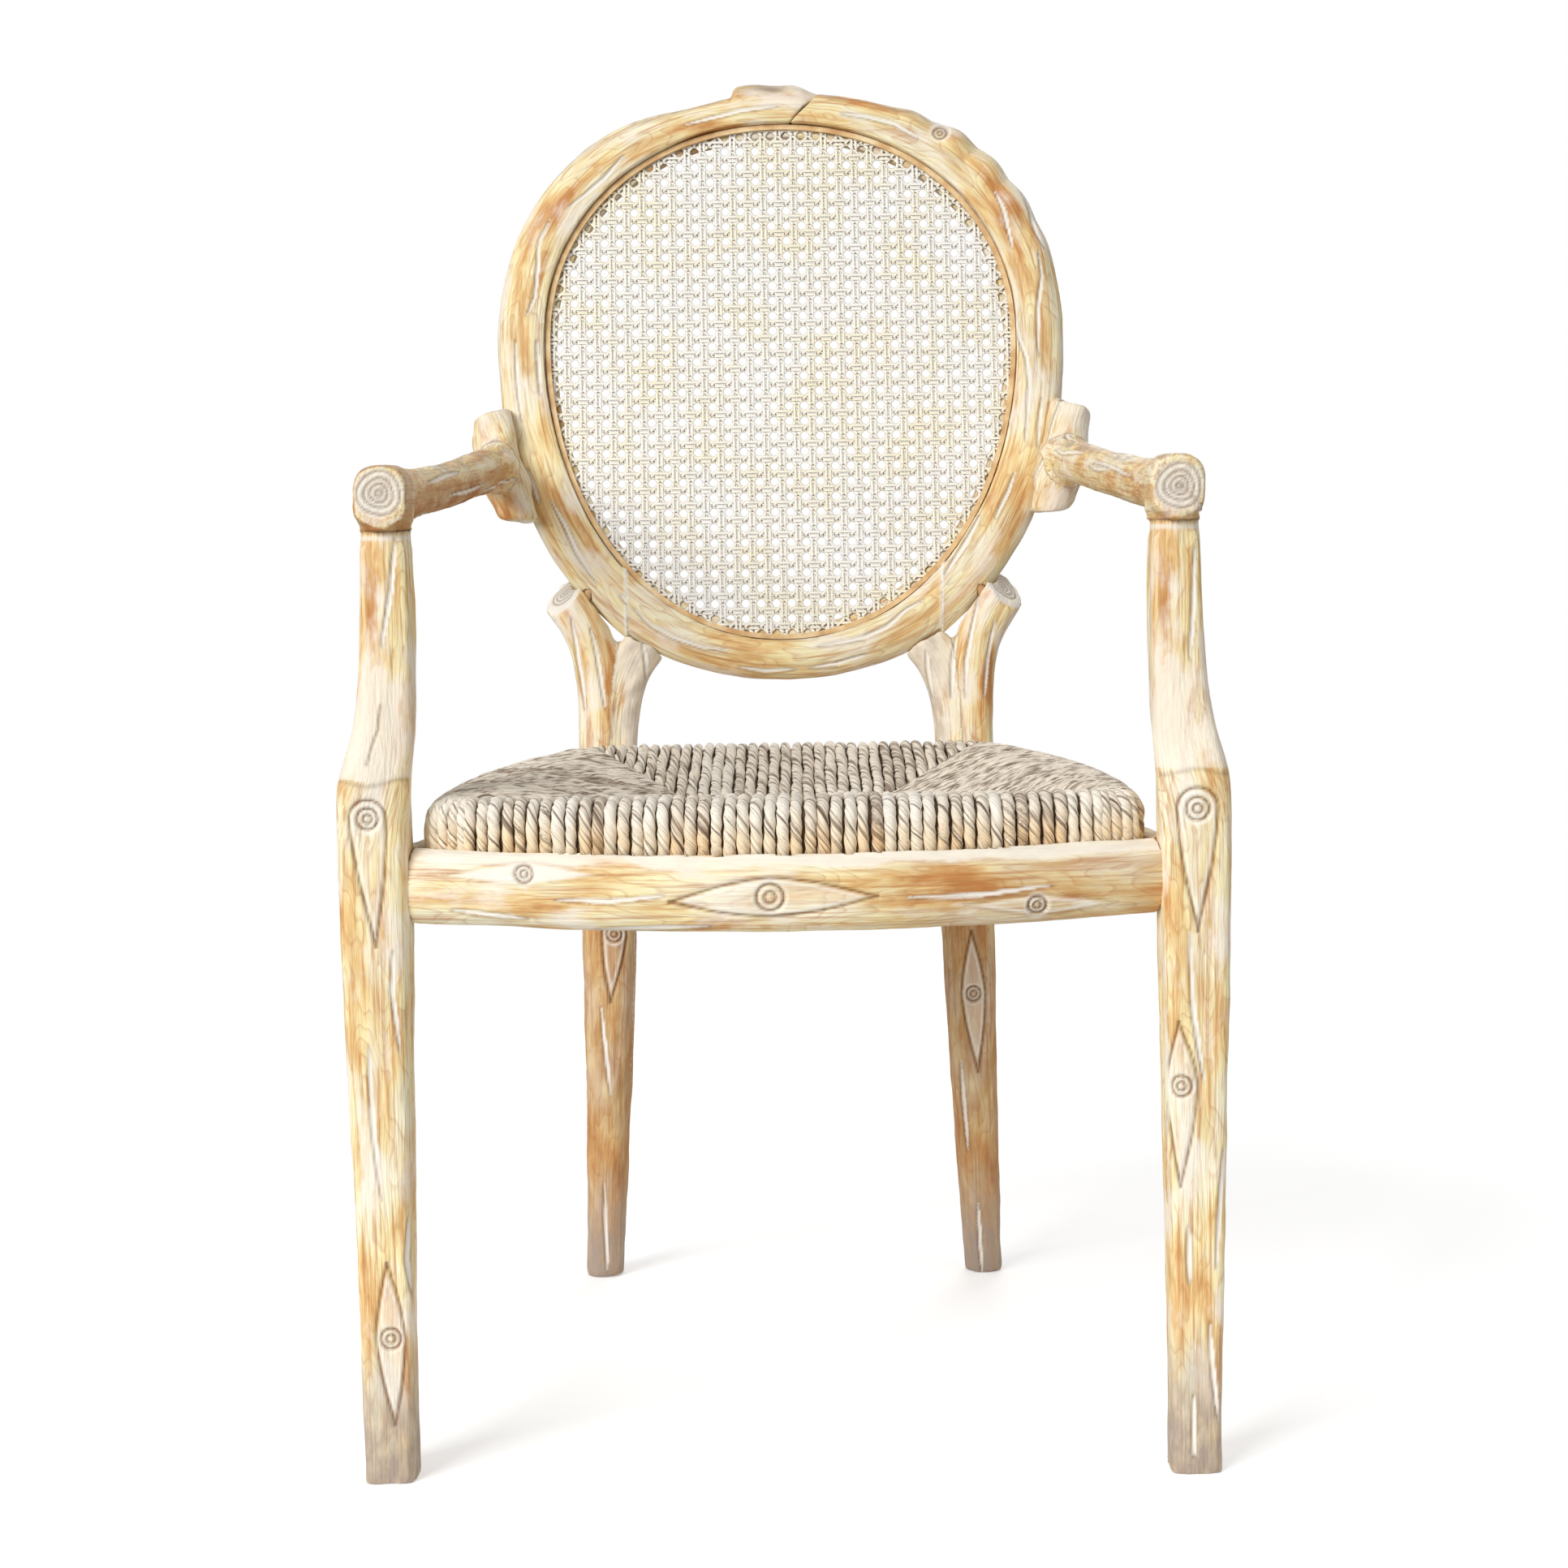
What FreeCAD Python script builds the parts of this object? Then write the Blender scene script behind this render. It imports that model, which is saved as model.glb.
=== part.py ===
import FreeCAD, Part
import math
import os

# A carved armchair that imitates lopped branches, with an oval cane back and a loose rush seat.
# Millimetres. +Z is up, the chair faces -Y, and left and right are as seen from the front.
# Pieces are built about the front legs' plane, Y = 0, and moved to the footprint's middle at the end.

Vector = FreeCAD.Vector

# Seat rails
RAIL_TOP = 435.0
RAIL_HEIGHT = 52.0
RAIL_THICKNESS = 34.0
FRONT_RAIL_SWELL = 5.0
FRONT_RAIL_BOW = 38.0
SIDE_RAIL_BOW = 18.0
SIDE_RAIL_FRONT_INSET = 18.5
SIDE_RAIL_BACK_OUTSET = 12.0
SIDE_RAIL_TAPER = 0.8
REAR_RAIL_THICKNESS = 38.0
REAR_RAIL_FORWARD = 40.0
TENON_THICKNESS = 12.0
TENON_HEIGHT = 24.0
TENON_LENGTH = 18.0
MORTISE_CLEARANCE = 0.1

# Front legs and arm posts
FRONT_LEG_X = 275.5
FRONT_FOOT_WIDTH = 36.0
FRONT_LEG_WIDTH = 49.0
SHOULDER_RISE = 30.0
POST_INSET = 12.0
POST_SETBACK = 8.0
POST_WIDTH = 36.0
POST_TOP_WIDTH = 33.0
POST_TENON_DIAMETER = 18.0
POST_TENON_LENGTH = 22.0
FRONT_LEG_TAPER = 1.8
FRONT_LEG_STATIONS = (0.0, 0.2, 0.45, 0.72, 1.0)
POST_STEPS = ((0.11, 0.16), (0.25, 0.64), (0.45, 0.9), (0.7, 1.0))

# Arms
ARM_SEAM_Z = 647.0
ARM_RISE = 34.0
ARM_OVERHANG = 26.0
ARM_BLOCK_WIDTH = 37.0
ARM_BLOCK_HEIGHT = 44.0
ARM_WIDTH = 31.0
ARM_HEIGHT = 34.0
ARM_SWEEP = 1.6
ARM_CLIMB = 1.5
ARM_SWELL = ((0.0, 0.9), (0.035, 1.0), (0.1, 1.0), (0.18, 0.35), (0.32, 0.0), (0.55, 0.0), (0.78, 0.0),
             (0.92, 0.3), (1.0, 0.6))
ARM_NECK_FLARE = 2.0
LIMB_WIDTH = 39.0
LIMB_DEPTH = 34.0
LIMB_BOTTOM_RISE = 9.0
LIMB_TOP_RISE = 101.0
LIMB_TOP_LEAN = 18.0
LIMB_STANDOFF = 7.0
LIMB_FORWARD = 20.0
LIMB_SWELL = ((0.0, 0.9), (0.2, 1.04), (0.6, 1.0), (1.0, 0.92))

# Back legs, stems and forks
BACK_LEG_X = 148.0
BACK_LEG_Y = 414.0
BACK_LEG_WIDTH = 49.0
BACK_FOOT_OUTSET = 18.0
BACK_FOOT_SETBACK = 96.0
BACK_FOOT_WIDTH = 32.6
BACK_LEG_SPLAY = 1.5
BACK_LEG_SWEEP = 1.4
BACK_LEG_TAPER = 1.2
BACK_LEG_STATIONS = (0.0, 0.22, 0.48, 0.75, 1.0)
STEM_OUTSET = 5.0
STEM_WIDTH = 37.0
STEM_DEPTH = 35.0
STEM_ROOT_RISE = 20.0
STUB_OUTSET = 40.5
STUB_RISE = 81.0
STUB_WIDTH = 43.0
STUB_LEAN = 44.0
STUB_SAW_SLOPE = 0.5
STEM_CURVE = 4.5
STUB_CURVE = 1.6
STEM_STATIONS = (0.17, 0.4, 0.6, 0.8, 1.0)
FORK_INSET = 12.0
FORK_WIDTH = 24.0
FORK_DEPTH = 27.0
FORK_TOP_INSET = 36.0
FORK_TOP_WIDTH = 46.0
FORK_SINK = 16.0
FORK_LEAN = 40.0
FORK_CURVE = 4.0
FORK_STATIONS = (0.0, 0.4, 0.62, 0.82, 1.0)

# Oval back, measured along its raked plane from its widest line
BACK_RAKE = 9.0
BACK_BOTTOM_Z = 523.0
OVAL_HALF_WIDTH = 236.0
OVAL_RISE = 209.6
OVAL_DROP = 285.5
OVAL_POWER = 2.3
STILE_FACE = 40.0
CREST_FACE = 29.0
LOWER_RAIL_FACE = 32.4
OPENING_POWER = 2.08
OVAL_DEPTH = 34.0
LEDGE_WIDTH = 11.0
LOWER_JOINT_TURN = 59.0
CREST_JOINT_X = 18.0
CREST_JOINT_LEAN = 41.5
CREST_LIP_RISE = 7.0
CREST_LIP_FRONT = 3.0
CREST_LIP_FULL_TURN = 98.0
CREST_LIP_END_TURN = 103.0
OVAL_OVERRUN = 7.0

# Cane webbing and its reed
CANE_FRONT = 7.0
CANE_THICKNESS = 1.6
CANE_CLEARANCE = 0.3
REED_WIDTH = 4.0
REED_HEIGHT = 3.0
CANE_HOLE_PITCH = 33.0
CANE_HOLE_WIDTH = 17.0
CANE_HOLE_SIDES = 8
CANE_HOLE_MARGIN = 3.0

# Dowels and screws
DOWEL_DIAMETER = 8.0
DOWEL_LENGTH = 36.0
DOWEL_OFFSET = 8.0
STEM_DOWEL_SHARE = 0.86
FORK_DOWEL_SHARE = 0.9
LIMB_DOWEL_SHARES = (0.25, 0.7)
SCREW_DIAMETER = 4.0
SCREW_LENGTH = 38.0
SCREW_HEAD_DIAMETER = 8.0
SCREW_HEAD_HEIGHT = 3.0
SCREW_SINK = 3.0
BLOCK_HEIGHT = 28.0
BLOCK_DROP = 4.0
BLOCK_REACH = 85.0
REAR_BLOCK_REACH = 51.0
FRONT_SCREW_SHARES = (0.3, 0.62)
REAR_SCREW_SHARES = (0.36, 0.65)

# Loose rush seat
SEAT_REBATE = 11.0
SEAT_CLEARANCE = 1.5
SEAT_REST_GAP = 0.3
SEAT_FRONT_LIP = 13.0
SEAT_POST_GAP = 2.5
SEAT_BACK_OUTSET = 24.0
SEAT_BACK_GAP = 4.5
SEAT_SIDE_BOW = 22.0
SEAT_CORNER_RADIUS = 20.0
SEAT_FRONT_HEIGHT = 41.0
SEAT_BACK_HEIGHT = 51.0
SEAT_ROLL_RADIUS = 14.0
SEAT_EDGE_ROLL = 5.0
SEAT_SAG_HEIGHT = 17.0
SEAT_SAG_HALF_WIDTH = 55.0
SEAT_SAG_Y = 160.0
SEAT_SAG_BORDER = 34.0
SLAT_INSET = 12.0
SLAT_WIDTH = 34.0
SLAT_THICKNESS = 18.0
SLAT_RISE = 7.0
SLAT_CLEARANCE = 0.3
SLAT_TENON_DIAMETER = 10.0
SLAT_TENON_LENGTH = 14.0

# Roundness of the carved cross-sections: 2 is an ellipse, more is squarer
LEG_POWER = 2.9
ARM_POWER = 2.6
RAIL_POWER = 2.7
OVAL_SECTION_POWER = 2.5
SECTION_POLES = 12
BRANCH_DEGREE = 3
OUTLINE_POINTS = 48

# Places worked out from the sizes above
RAIL_BOTTOM = RAIL_TOP - RAIL_HEIGHT
RAIL_MIDDLE = RAIL_TOP - RAIL_HEIGHT / 2
SHOULDER_Z = RAIL_TOP + SHOULDER_RISE
LEDGE_Z = RAIL_TOP - SEAT_REBATE
SEAT_BOTTOM = LEDGE_Z + SEAT_REST_GAP
STEM_ROOT_Z = RAIL_TOP + STEM_ROOT_RISE
FRONT_LEG_INNER = FRONT_LEG_X - FRONT_LEG_WIDTH / 2
POST_X = FRONT_LEG_X - POST_INSET
BACK_LEG_INNER = BACK_LEG_X - BACK_LEG_WIDTH / 2
BACK_LEG_FRONT = BACK_LEG_Y - BACK_LEG_WIDTH / 2
BACK_FOOT_X = BACK_LEG_X + BACK_FOOT_OUTSET
BACK_FOOT_Y = BACK_LEG_Y + BACK_FOOT_SETBACK
STEM_X = BACK_LEG_X + STEM_OUTSET
STUB_X = BACK_LEG_X + STUB_OUTSET
STUB_Z = BACK_BOTTOM_Z + STUB_RISE
FORK_X = BACK_LEG_X - FORK_INSET
FORK_TOP_X = BACK_LEG_X - FORK_TOP_INSET
SIDE_RAIL_FRONT_X = FRONT_LEG_X - SIDE_RAIL_FRONT_INSET
SIDE_RAIL_BACK_X = BACK_LEG_X + SIDE_RAIL_BACK_OUTSET
REAR_RAIL_FRONT_Y = BACK_LEG_Y - REAR_RAIL_FORWARD
ARM_AXIS_Z = ARM_SEAM_Z + ARM_BLOCK_HEIGHT / 2
ARM_BACK_Z = ARM_AXIS_Z + ARM_RISE
LIMB_BOTTOM_Z = ARM_SEAM_Z + LIMB_BOTTOM_RISE
LIMB_TOP_Z = ARM_SEAM_Z + LIMB_TOP_RISE
OPENING_HALF_WIDTH = OVAL_HALF_WIDTH - STILE_FACE
OPENING_RISE = OVAL_RISE - CREST_FACE
OPENING_DROP = OVAL_DROP - LOWER_RAIL_FACE
SEAT_FRONT_HALF_WIDTH = POST_X - POST_WIDTH / 2 - SEAT_POST_GAP
SEAT_BACK_HALF_WIDTH = BACK_LEG_X + SEAT_BACK_OUTSET
SEAT_BACK_Y = BACK_LEG_FRONT - SEAT_BACK_GAP
REACH = 400.0
X_AXIS = Vector(1, 0, 0)
Y_AXIS = Vector(0, 1, 0)
Z_AXIS = Vector(0, 0, 1)
RAKE = math.radians(BACK_RAKE)
BACK_UP = Vector(0, math.sin(RAKE), math.cos(RAKE))
BACK_FRONT = Vector(0, -math.cos(RAKE), math.sin(RAKE))
OVAL_CENTRE_Z = BACK_BOTTOM_Z + OVAL_DROP * math.cos(RAKE)


def back_y(height):
    """Y of the raked back's middle plane at a height."""
    return BACK_LEG_Y + (height - STEM_ROOT_Z) * math.tan(RAKE)


BACK_CENTRE = Vector(0, back_y(OVAL_CENTRE_Z), OVAL_CENTRE_Z)


def section(centre, across, deep, width, depth, power):
    """Poles of a carved branch's cross-section, set out far enough that the curve has the section's size."""
    spread = 3 / (2 + math.cos(2 * math.pi / SECTION_POLES))
    poles = []
    for step in range(SECTION_POLES):
        turn = 2 * math.pi * (step + 0.5) / SECTION_POLES
        side = math.cos(turn)
        face = math.sin(turn)
        reach = (abs(2 * side / width) ** power + abs(2 * face / depth) ** power) ** (-1 / power)
        poles.append(centre + across * (spread * reach * side) + deep * (spread * reach * face))
    return poles


def branch(stations, power):
    """Solid branch with a smooth skin along stations of (centre, across, deep, width, depth)."""
    poles = list(zip(*[section(*station, power) for station in stations]))
    degree = min(BRANCH_DEGREE, len(stations) - 1)
    spans = len(stations) - degree
    skin = Part.BSplineSurface()
    around = list(range(SECTION_POLES + 1))
    along = list(range(spans + 1))
    ends_held = [degree + 1] + [1] * (spans - 1) + [degree + 1]
    skin.buildFromPolesMultsKnots(poles, [1] * len(around), ends_held, around, along, True, False,
                                  BRANCH_DEGREE, degree)
    side = skin.toShape()
    ends = [Part.Face(Part.Wire([edge])) for edge in side.Edges if edge.isClosed()]
    shell = Part.makeShell([side] + ends)
    shell.sewShape()
    return Part.makeSolid(shell)


def upright(x, y, z, width, depth, lean=0.0):
    """Station of an upright branch, leaning outwards by an angle in degrees."""
    tilt = math.radians(lean)
    return Vector(x, y, z), Vector(math.cos(tilt), 0, -math.sin(tilt)), Y_AXIS, width, depth


def block(low, high):
    """Box between two corners."""
    size = Vector(*high) - Vector(*low)
    return Part.makeBox(size.x, size.y, size.z, Vector(*low))


def dowel(middle, direction, diameter, length):
    """Round pin about its middle point."""
    axis = Vector(direction).normalize()
    return Part.makeCylinder(diameter / 2, length, middle - axis * (length / 2), axis)


def largest(shape):
    """The piece that is left after trimming, without its offcuts."""
    return max(shape.Solids, key=lambda solid: solid.Volume)


def mirrored(shape):
    """Left-hand copy of a right-hand piece."""
    return shape.mirror(Vector(0, 0, 0), X_AXIS)


def blend(start, end, share):
    """Value at a share of the way from start to end."""
    return start + (end - start) * share


def oval_reach(turn, half_width, rise, drop, power):
    """Distance from the oval's centre to its outline, at an angle from +X."""
    height = rise if math.sin(turn) > 0 else drop
    return (abs(math.cos(turn) / half_width) ** power + abs(math.sin(turn) / height) ** power) ** (-1 / power)


def oval_outer(turn):
    """Distance from the oval's centre to the frame's outside."""
    return oval_reach(turn, OVAL_HALF_WIDTH, OVAL_RISE, OVAL_DROP, OVAL_POWER)


def oval_opening(turn, inset=0.0):
    """Distance from the oval's centre to the cane opening, drawn in by an inset."""
    half_width = OPENING_HALF_WIDTH - inset
    return oval_reach(turn, half_width, OPENING_RISE - inset, OPENING_DROP - inset, OPENING_POWER)


def oval_middle(turn):
    """Distance from the oval's centre to the middle of its frame."""
    return (oval_outer(turn) + oval_opening(turn, LEDGE_WIDTH)) / 2


def oval_point(turn, reach, forward=0.0):
    """Point on the raked back, by angle and distance from the oval's centre."""
    outwards = X_AXIS * math.cos(turn) + BACK_UP * math.sin(turn)
    return BACK_CENTRE + outwards * reach + BACK_FRONT * forward


def oval_side_x(height):
    """Half width of the oval's outside at a height below its widest line."""
    share = (OVAL_CENTRE_Z - height) / math.cos(RAKE) / OVAL_DROP
    return OVAL_HALF_WIDTH * (1 - share ** OVAL_POWER) ** (1 / OVAL_POWER)


def oval_bottom_z(x):
    """Height of the oval's underside at a distance from the middle."""
    share = (1 - (x / OVAL_HALF_WIDTH) ** OVAL_POWER) ** (1 / OVAL_POWER)
    return OVAL_CENTRE_Z - OVAL_DROP * share * math.cos(RAKE)


def crest_lip(turn):
    """Share of the crest's raised lip: full at the joint, fading down the left stile."""
    share = (CREST_LIP_END_TURN - math.degrees(turn)) / (CREST_LIP_END_TURN - CREST_LIP_FULL_TURN)
    return min(1.0, max(0.0, share))


def oval_piece(start, end, pieces, lip=False):
    """Length of the oval frame between two angles in degrees."""
    stations = []
    spread = 3 / (2 + math.cos(math.radians((end - start) / pieces)))
    for step in range(pieces + 1):
        turn = math.radians(blend(start, end, step / pieces))
        raised = crest_lip(turn) if lip else 0.0
        inner = oval_opening(turn, LEDGE_WIDTH)
        outer = oval_outer(turn) + CREST_LIP_RISE * raised
        outwards = X_AXIS * math.cos(turn) + BACK_UP * math.sin(turn)
        centre = oval_point(turn, spread * (inner + outer) / 2)
        stations.append((centre, outwards, BACK_FRONT, outer - inner, OVAL_DEPTH + CREST_LIP_FRONT * raised))
    return branch(stations, OVAL_SECTION_POWER)


def outline_wire(inset, forward):
    """Outline of the cane opening, drawn in by an inset, at a distance in front of the middle plane."""
    points = []
    for step in range(OUTLINE_POINTS):
        turn = 2 * math.pi * (step + 0.5) / OUTLINE_POINTS
        points.append(oval_point(turn, oval_opening(turn, inset), forward))
    curve = Part.BSplineCurve()
    curve.interpolate(Points=points, PeriodicFlag=True)
    return Part.Wire(curve.toShape())


def opening_plate(inset, back, front):
    """Plate with the outline of the cane opening."""
    return Part.Face(outline_wire(inset, back)).extrude(BACK_FRONT * (front - back))


LOWER_TURN = math.radians(-LOWER_JOINT_TURN)
LOWER_JOINT = oval_point(LOWER_TURN, oval_middle(LOWER_TURN))
CREST_TURN = math.atan2(oval_middle(math.pi / 2), CREST_JOINT_X)
CREST_JOINT = oval_point(CREST_TURN, oval_middle(CREST_TURN))


def crest_side(direction):
    """Block on one side of the slanted crest joint: 1 is the right side, -1 the left."""
    lean = math.radians(CREST_JOINT_LEAN)
    across = X_AXIS * math.cos(lean) - BACK_UP * math.sin(lean)
    along = X_AXIS * math.sin(lean) + BACK_UP * math.cos(lean)
    size = 3 * OVAL_DEPTH
    start = 0 if direction > 0 else -size
    piece = Part.makeBox(size, 2 * size, 2 * size, Vector(start, -size, -size))
    piece.Placement = FreeCAD.Placement(CREST_JOINT, FreeCAD.Rotation(across, along, BACK_FRONT, "XYZ"))
    return piece


def oval_forms():
    """Lofts of the two stiles and the lower rail of the back, run on past their joints."""
    crest = math.degrees(CREST_TURN)
    left_joint = 180 + LOWER_JOINT_TURN
    right_joint = 360 - LOWER_JOINT_TURN
    left = oval_piece(left_joint + OVAL_OVERRUN, crest - OVAL_OVERRUN, 12, lip=True)
    right = oval_piece(right_joint - 360 - OVAL_OVERRUN, crest + OVAL_OVERRUN, 11)
    lower = oval_piece(left_joint - OVAL_OVERRUN, right_joint + OVAL_OVERRUN, 6)
    return left, right, lower


def oval_frame(left, right, lower):
    """The stiles and the lower rail, cut apart at their joints and rebated for the cane."""
    recess = opening_plate(0, CANE_FRONT - CANE_THICKNESS, OVAL_DEPTH)
    joint_x = LOWER_JOINT.x
    low = LOWER_JOINT.z - OVAL_HALF_WIDTH
    middle = block((-joint_x, 0, low), (joint_x, 2 * BACK_LEG_Y, OVAL_CENTRE_Z))
    left = largest(left.cut([recess, middle, crest_side(1)]))
    right = largest(right.cut([recess, middle, crest_side(-1)]))
    lower = largest(lower.cut(recess).common(middle))
    return left, right, lower


def oval_dowels():
    """Two dowels in each of the oval's three joints, along the frame."""
    pins = []
    for turn in (CREST_TURN, LOWER_TURN, math.pi - LOWER_TURN):
        along = BACK_UP * math.cos(turn) - X_AXIS * math.sin(turn)
        for offset in (-DOWEL_OFFSET, DOWEL_OFFSET):
            centre = oval_point(turn, oval_middle(turn) + offset, -DOWEL_DIAMETER / 2)
            pins.append(dowel(centre, along, DOWEL_DIAMETER, DOWEL_LENGTH))
    return pins


def front_leg_form():
    """Right front leg and arm post, tapered to the foot and stepped in above the shoulder."""
    stations = []
    for share in FRONT_LEG_STATIONS:
        width = blend(FRONT_FOOT_WIDTH, FRONT_LEG_WIDTH, share ** FRONT_LEG_TAPER)
        stations.append(upright(FRONT_LEG_X, 0, share * RAIL_BOTTOM, width, width))
    stations.append(upright(FRONT_LEG_X, 0, SHOULDER_Z, FRONT_LEG_WIDTH, FRONT_LEG_WIDTH))
    for share, step_in in POST_STEPS:
        width = blend(FRONT_LEG_WIDTH, POST_WIDTH, step_in)
        x = blend(FRONT_LEG_X, POST_X, step_in)
        z = blend(SHOULDER_Z, ARM_SEAM_Z, share)
        stations.append(upright(x, POST_SETBACK * step_in, z, width, width))
    stations.append(upright(POST_X, POST_SETBACK, ARM_SEAM_Z, POST_TOP_WIDTH, POST_TOP_WIDTH))
    return branch(stations, LEG_POWER)


def post_tenon(clearance):
    """Round tenon on top of the right arm post, or its socket with a clearance."""
    base = Vector(POST_X, POST_SETBACK, ARM_SEAM_Z - POST_TENON_LENGTH / 2)
    length = POST_TENON_LENGTH * 1.5 + clearance
    return Part.makeCylinder(POST_TENON_DIAMETER / 2 + clearance, length, base, Z_AXIS)


def limb_middle(height):
    """Middle of the lopped limb that stands beside the right stile, at a height."""
    return Vector(oval_side_x(height) + LIMB_STANDOFF, back_y(height) - LIMB_FORWARD, height)


def arm_form():
    """Right arm: ringed block over the post, slim branch, and lopped limb against the stile."""
    front = Vector(POST_X, POST_SETBACK - ARM_OVERHANG, ARM_AXIS_Z)
    back = limb_middle(ARM_BACK_Z)
    stations = []
    for share, block_share in ARM_SWELL:
        centre = Vector(blend(front.x, back.x, share ** ARM_SWEEP), blend(front.y, back.y, share),
                        blend(front.z, back.z, share ** ARM_CLIMB))
        width = blend(ARM_WIDTH, ARM_BLOCK_WIDTH, block_share)
        height = blend(ARM_HEIGHT, ARM_BLOCK_HEIGHT, block_share)
        stations.append((centre, X_AXIS, Z_AXIS, width, height))
    arm = branch(stations, ARM_POWER)
    neck_stations = []
    for height, width in ((ARM_SEAM_Z, POST_TOP_WIDTH + ARM_NECK_FLARE),
                          (ARM_AXIS_Z - ARM_BLOCK_HEIGHT / 4, ARM_BLOCK_WIDTH - ARM_NECK_FLARE),
                          (ARM_AXIS_Z, ARM_BLOCK_WIDTH - 2 * ARM_NECK_FLARE)):
        neck_stations.append(upright(POST_X, POST_SETBACK, height, width, width))
    neck = branch(neck_stations, LEG_POWER)
    limb_stations = []
    for share, swell in LIMB_SWELL:
        middle = limb_middle(blend(LIMB_BOTTOM_Z, LIMB_TOP_Z, share))
        limb_stations.append(upright(*middle, LIMB_WIDTH * swell, LIMB_DEPTH, LIMB_TOP_LEAN * share))
    limb = branch(limb_stations, ARM_POWER)
    post_back = POST_SETBACK + ARM_BLOCK_WIDTH
    under = block((0, -REACH, ARM_SEAM_Z - ARM_BLOCK_HEIGHT), (REACH, post_back, ARM_SEAM_Z))
    return largest(arm.fuse([neck, limb]).cut(under))


def arm_dowels():
    """Two dowels from the right arm's limb into the stile."""
    pins = []
    for share in LIMB_DOWEL_SHARES:
        height = blend(LIMB_BOTTOM_Z, LIMB_TOP_Z, share)
        limb = limb_middle(height)
        stile = Vector(oval_side_x(height) - DOWEL_LENGTH / 2, back_y(height), height)
        pins.append(dowel((limb + stile) / 2, stile - limb, DOWEL_DIAMETER, DOWEL_LENGTH))
    return pins


def stem_middle(share):
    """Middle of the right stem, by its share of the way up from the root to the lopped end."""
    z = blend(STEM_ROOT_Z, STUB_Z, share)
    return Vector(blend(STEM_X, STUB_X, share ** STEM_CURVE), back_y(z), z)


def fork_middle(share):
    """Middle of the right fork, by its share of the way up from the rail to its end in the oval."""
    z = blend(RAIL_TOP, oval_bottom_z(FORK_TOP_X) + FORK_SINK, share)
    return Vector(blend(FORK_X, FORK_TOP_X, share ** FORK_CURVE), back_y(z), z)


def stub_saw():
    """Block that saws the right stem's end off, sloping down towards the front."""
    lean = math.radians(STUB_LEAN)
    facing = Vector(math.sin(lean), -STUB_SAW_SLOPE, math.cos(lean))
    waste = block((-REACH / 2, -REACH / 2, 0), (REACH / 2, REACH / 2, REACH))
    back_edge = stem_middle(1.0) + Y_AXIS * (STEM_DEPTH / 2)
    waste.Placement = FreeCAD.Placement(back_edge, FreeCAD.Rotation(Z_AXIS, facing))
    return waste


def back_leg_form():
    """Right back leg: swept leg, lopped outer stem, and inner fork under the oval."""
    stations = []
    for share in BACK_LEG_STATIONS:
        x = blend(BACK_LEG_X, BACK_FOOT_X, (1 - share) ** BACK_LEG_SPLAY)
        y = blend(BACK_LEG_Y, BACK_FOOT_Y, (1 - share) ** BACK_LEG_SWEEP)
        width = blend(BACK_FOOT_WIDTH, BACK_LEG_WIDTH, share ** BACK_LEG_TAPER)
        stations.append(upright(x, y, share * RAIL_BOTTOM, width, width))
    stations.append(upright(BACK_LEG_X, BACK_LEG_Y, RAIL_TOP, BACK_LEG_WIDTH, BACK_LEG_WIDTH))
    for share in STEM_STATIONS:
        width = blend(STEM_WIDTH, STUB_WIDTH, share ** STEM_CURVE)
        stations.append(upright(*stem_middle(share), width, STEM_DEPTH, STUB_LEAN * share ** STUB_CURVE))
    stem = branch(stations, LEG_POWER).cut(stub_saw())
    fork_stations = []
    for share in FORK_STATIONS:
        width = blend(FORK_WIDTH, FORK_TOP_WIDTH, share ** FORK_CURVE)
        fork_stations.append(upright(*fork_middle(share), width, FORK_DEPTH, -FORK_LEAN * share ** 2))
    return stem.fuse(branch(fork_stations, ARM_POWER))


def stem_dowels():
    """Dowels from the right stem into the stile, and from the fork into the lower rail."""
    pins = []
    stem = stem_middle(STEM_DOWEL_SHARE)
    inwards = (BACK_CENTRE - stem).normalize()
    for offset in (-DOWEL_OFFSET, DOWEL_OFFSET):
        middle = stem + inwards * (STEM_WIDTH / 2) + BACK_FRONT * offset
        pins.append(dowel(middle, inwards, DOWEL_DIAMETER, DOWEL_LENGTH))
    fork = fork_middle(FORK_DOWEL_SHARE)
    pins.append(dowel(fork, fork_middle(1.0) - fork, DOWEL_DIAMETER, DOWEL_LENGTH))
    return pins


def front_rail_y(x):
    """Middle line of the bowed front rail."""
    return -FRONT_RAIL_BOW * (1 - (x / FRONT_LEG_INNER) ** 2)


def front_rail_form():
    """Log of the front rail, swelling towards its middle, run on into both legs."""
    stations = []
    for step in range(-3, 4):
        x = step / 3 * FRONT_LEG_X
        slope = 2 * FRONT_RAIL_BOW * x / FRONT_LEG_INNER ** 2
        across = Vector(-slope, 1, 0).normalize()
        height = RAIL_HEIGHT + FRONT_RAIL_SWELL * max(0.0, 1 - (x / FRONT_LEG_INNER) ** 2)
        centre = Vector(x, front_rail_y(x), RAIL_TOP - height / 2)
        stations.append((centre, across, Z_AXIS, RAIL_THICKNESS, height))
    return branch(stations, RAIL_POWER)


def side_rail_x(y):
    """Middle line of the right side rail."""
    share = y / BACK_LEG_FRONT
    return blend(SIDE_RAIL_FRONT_X, SIDE_RAIL_BACK_X, share) + SIDE_RAIL_BOW * 4 * share * (1 - share)


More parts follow.
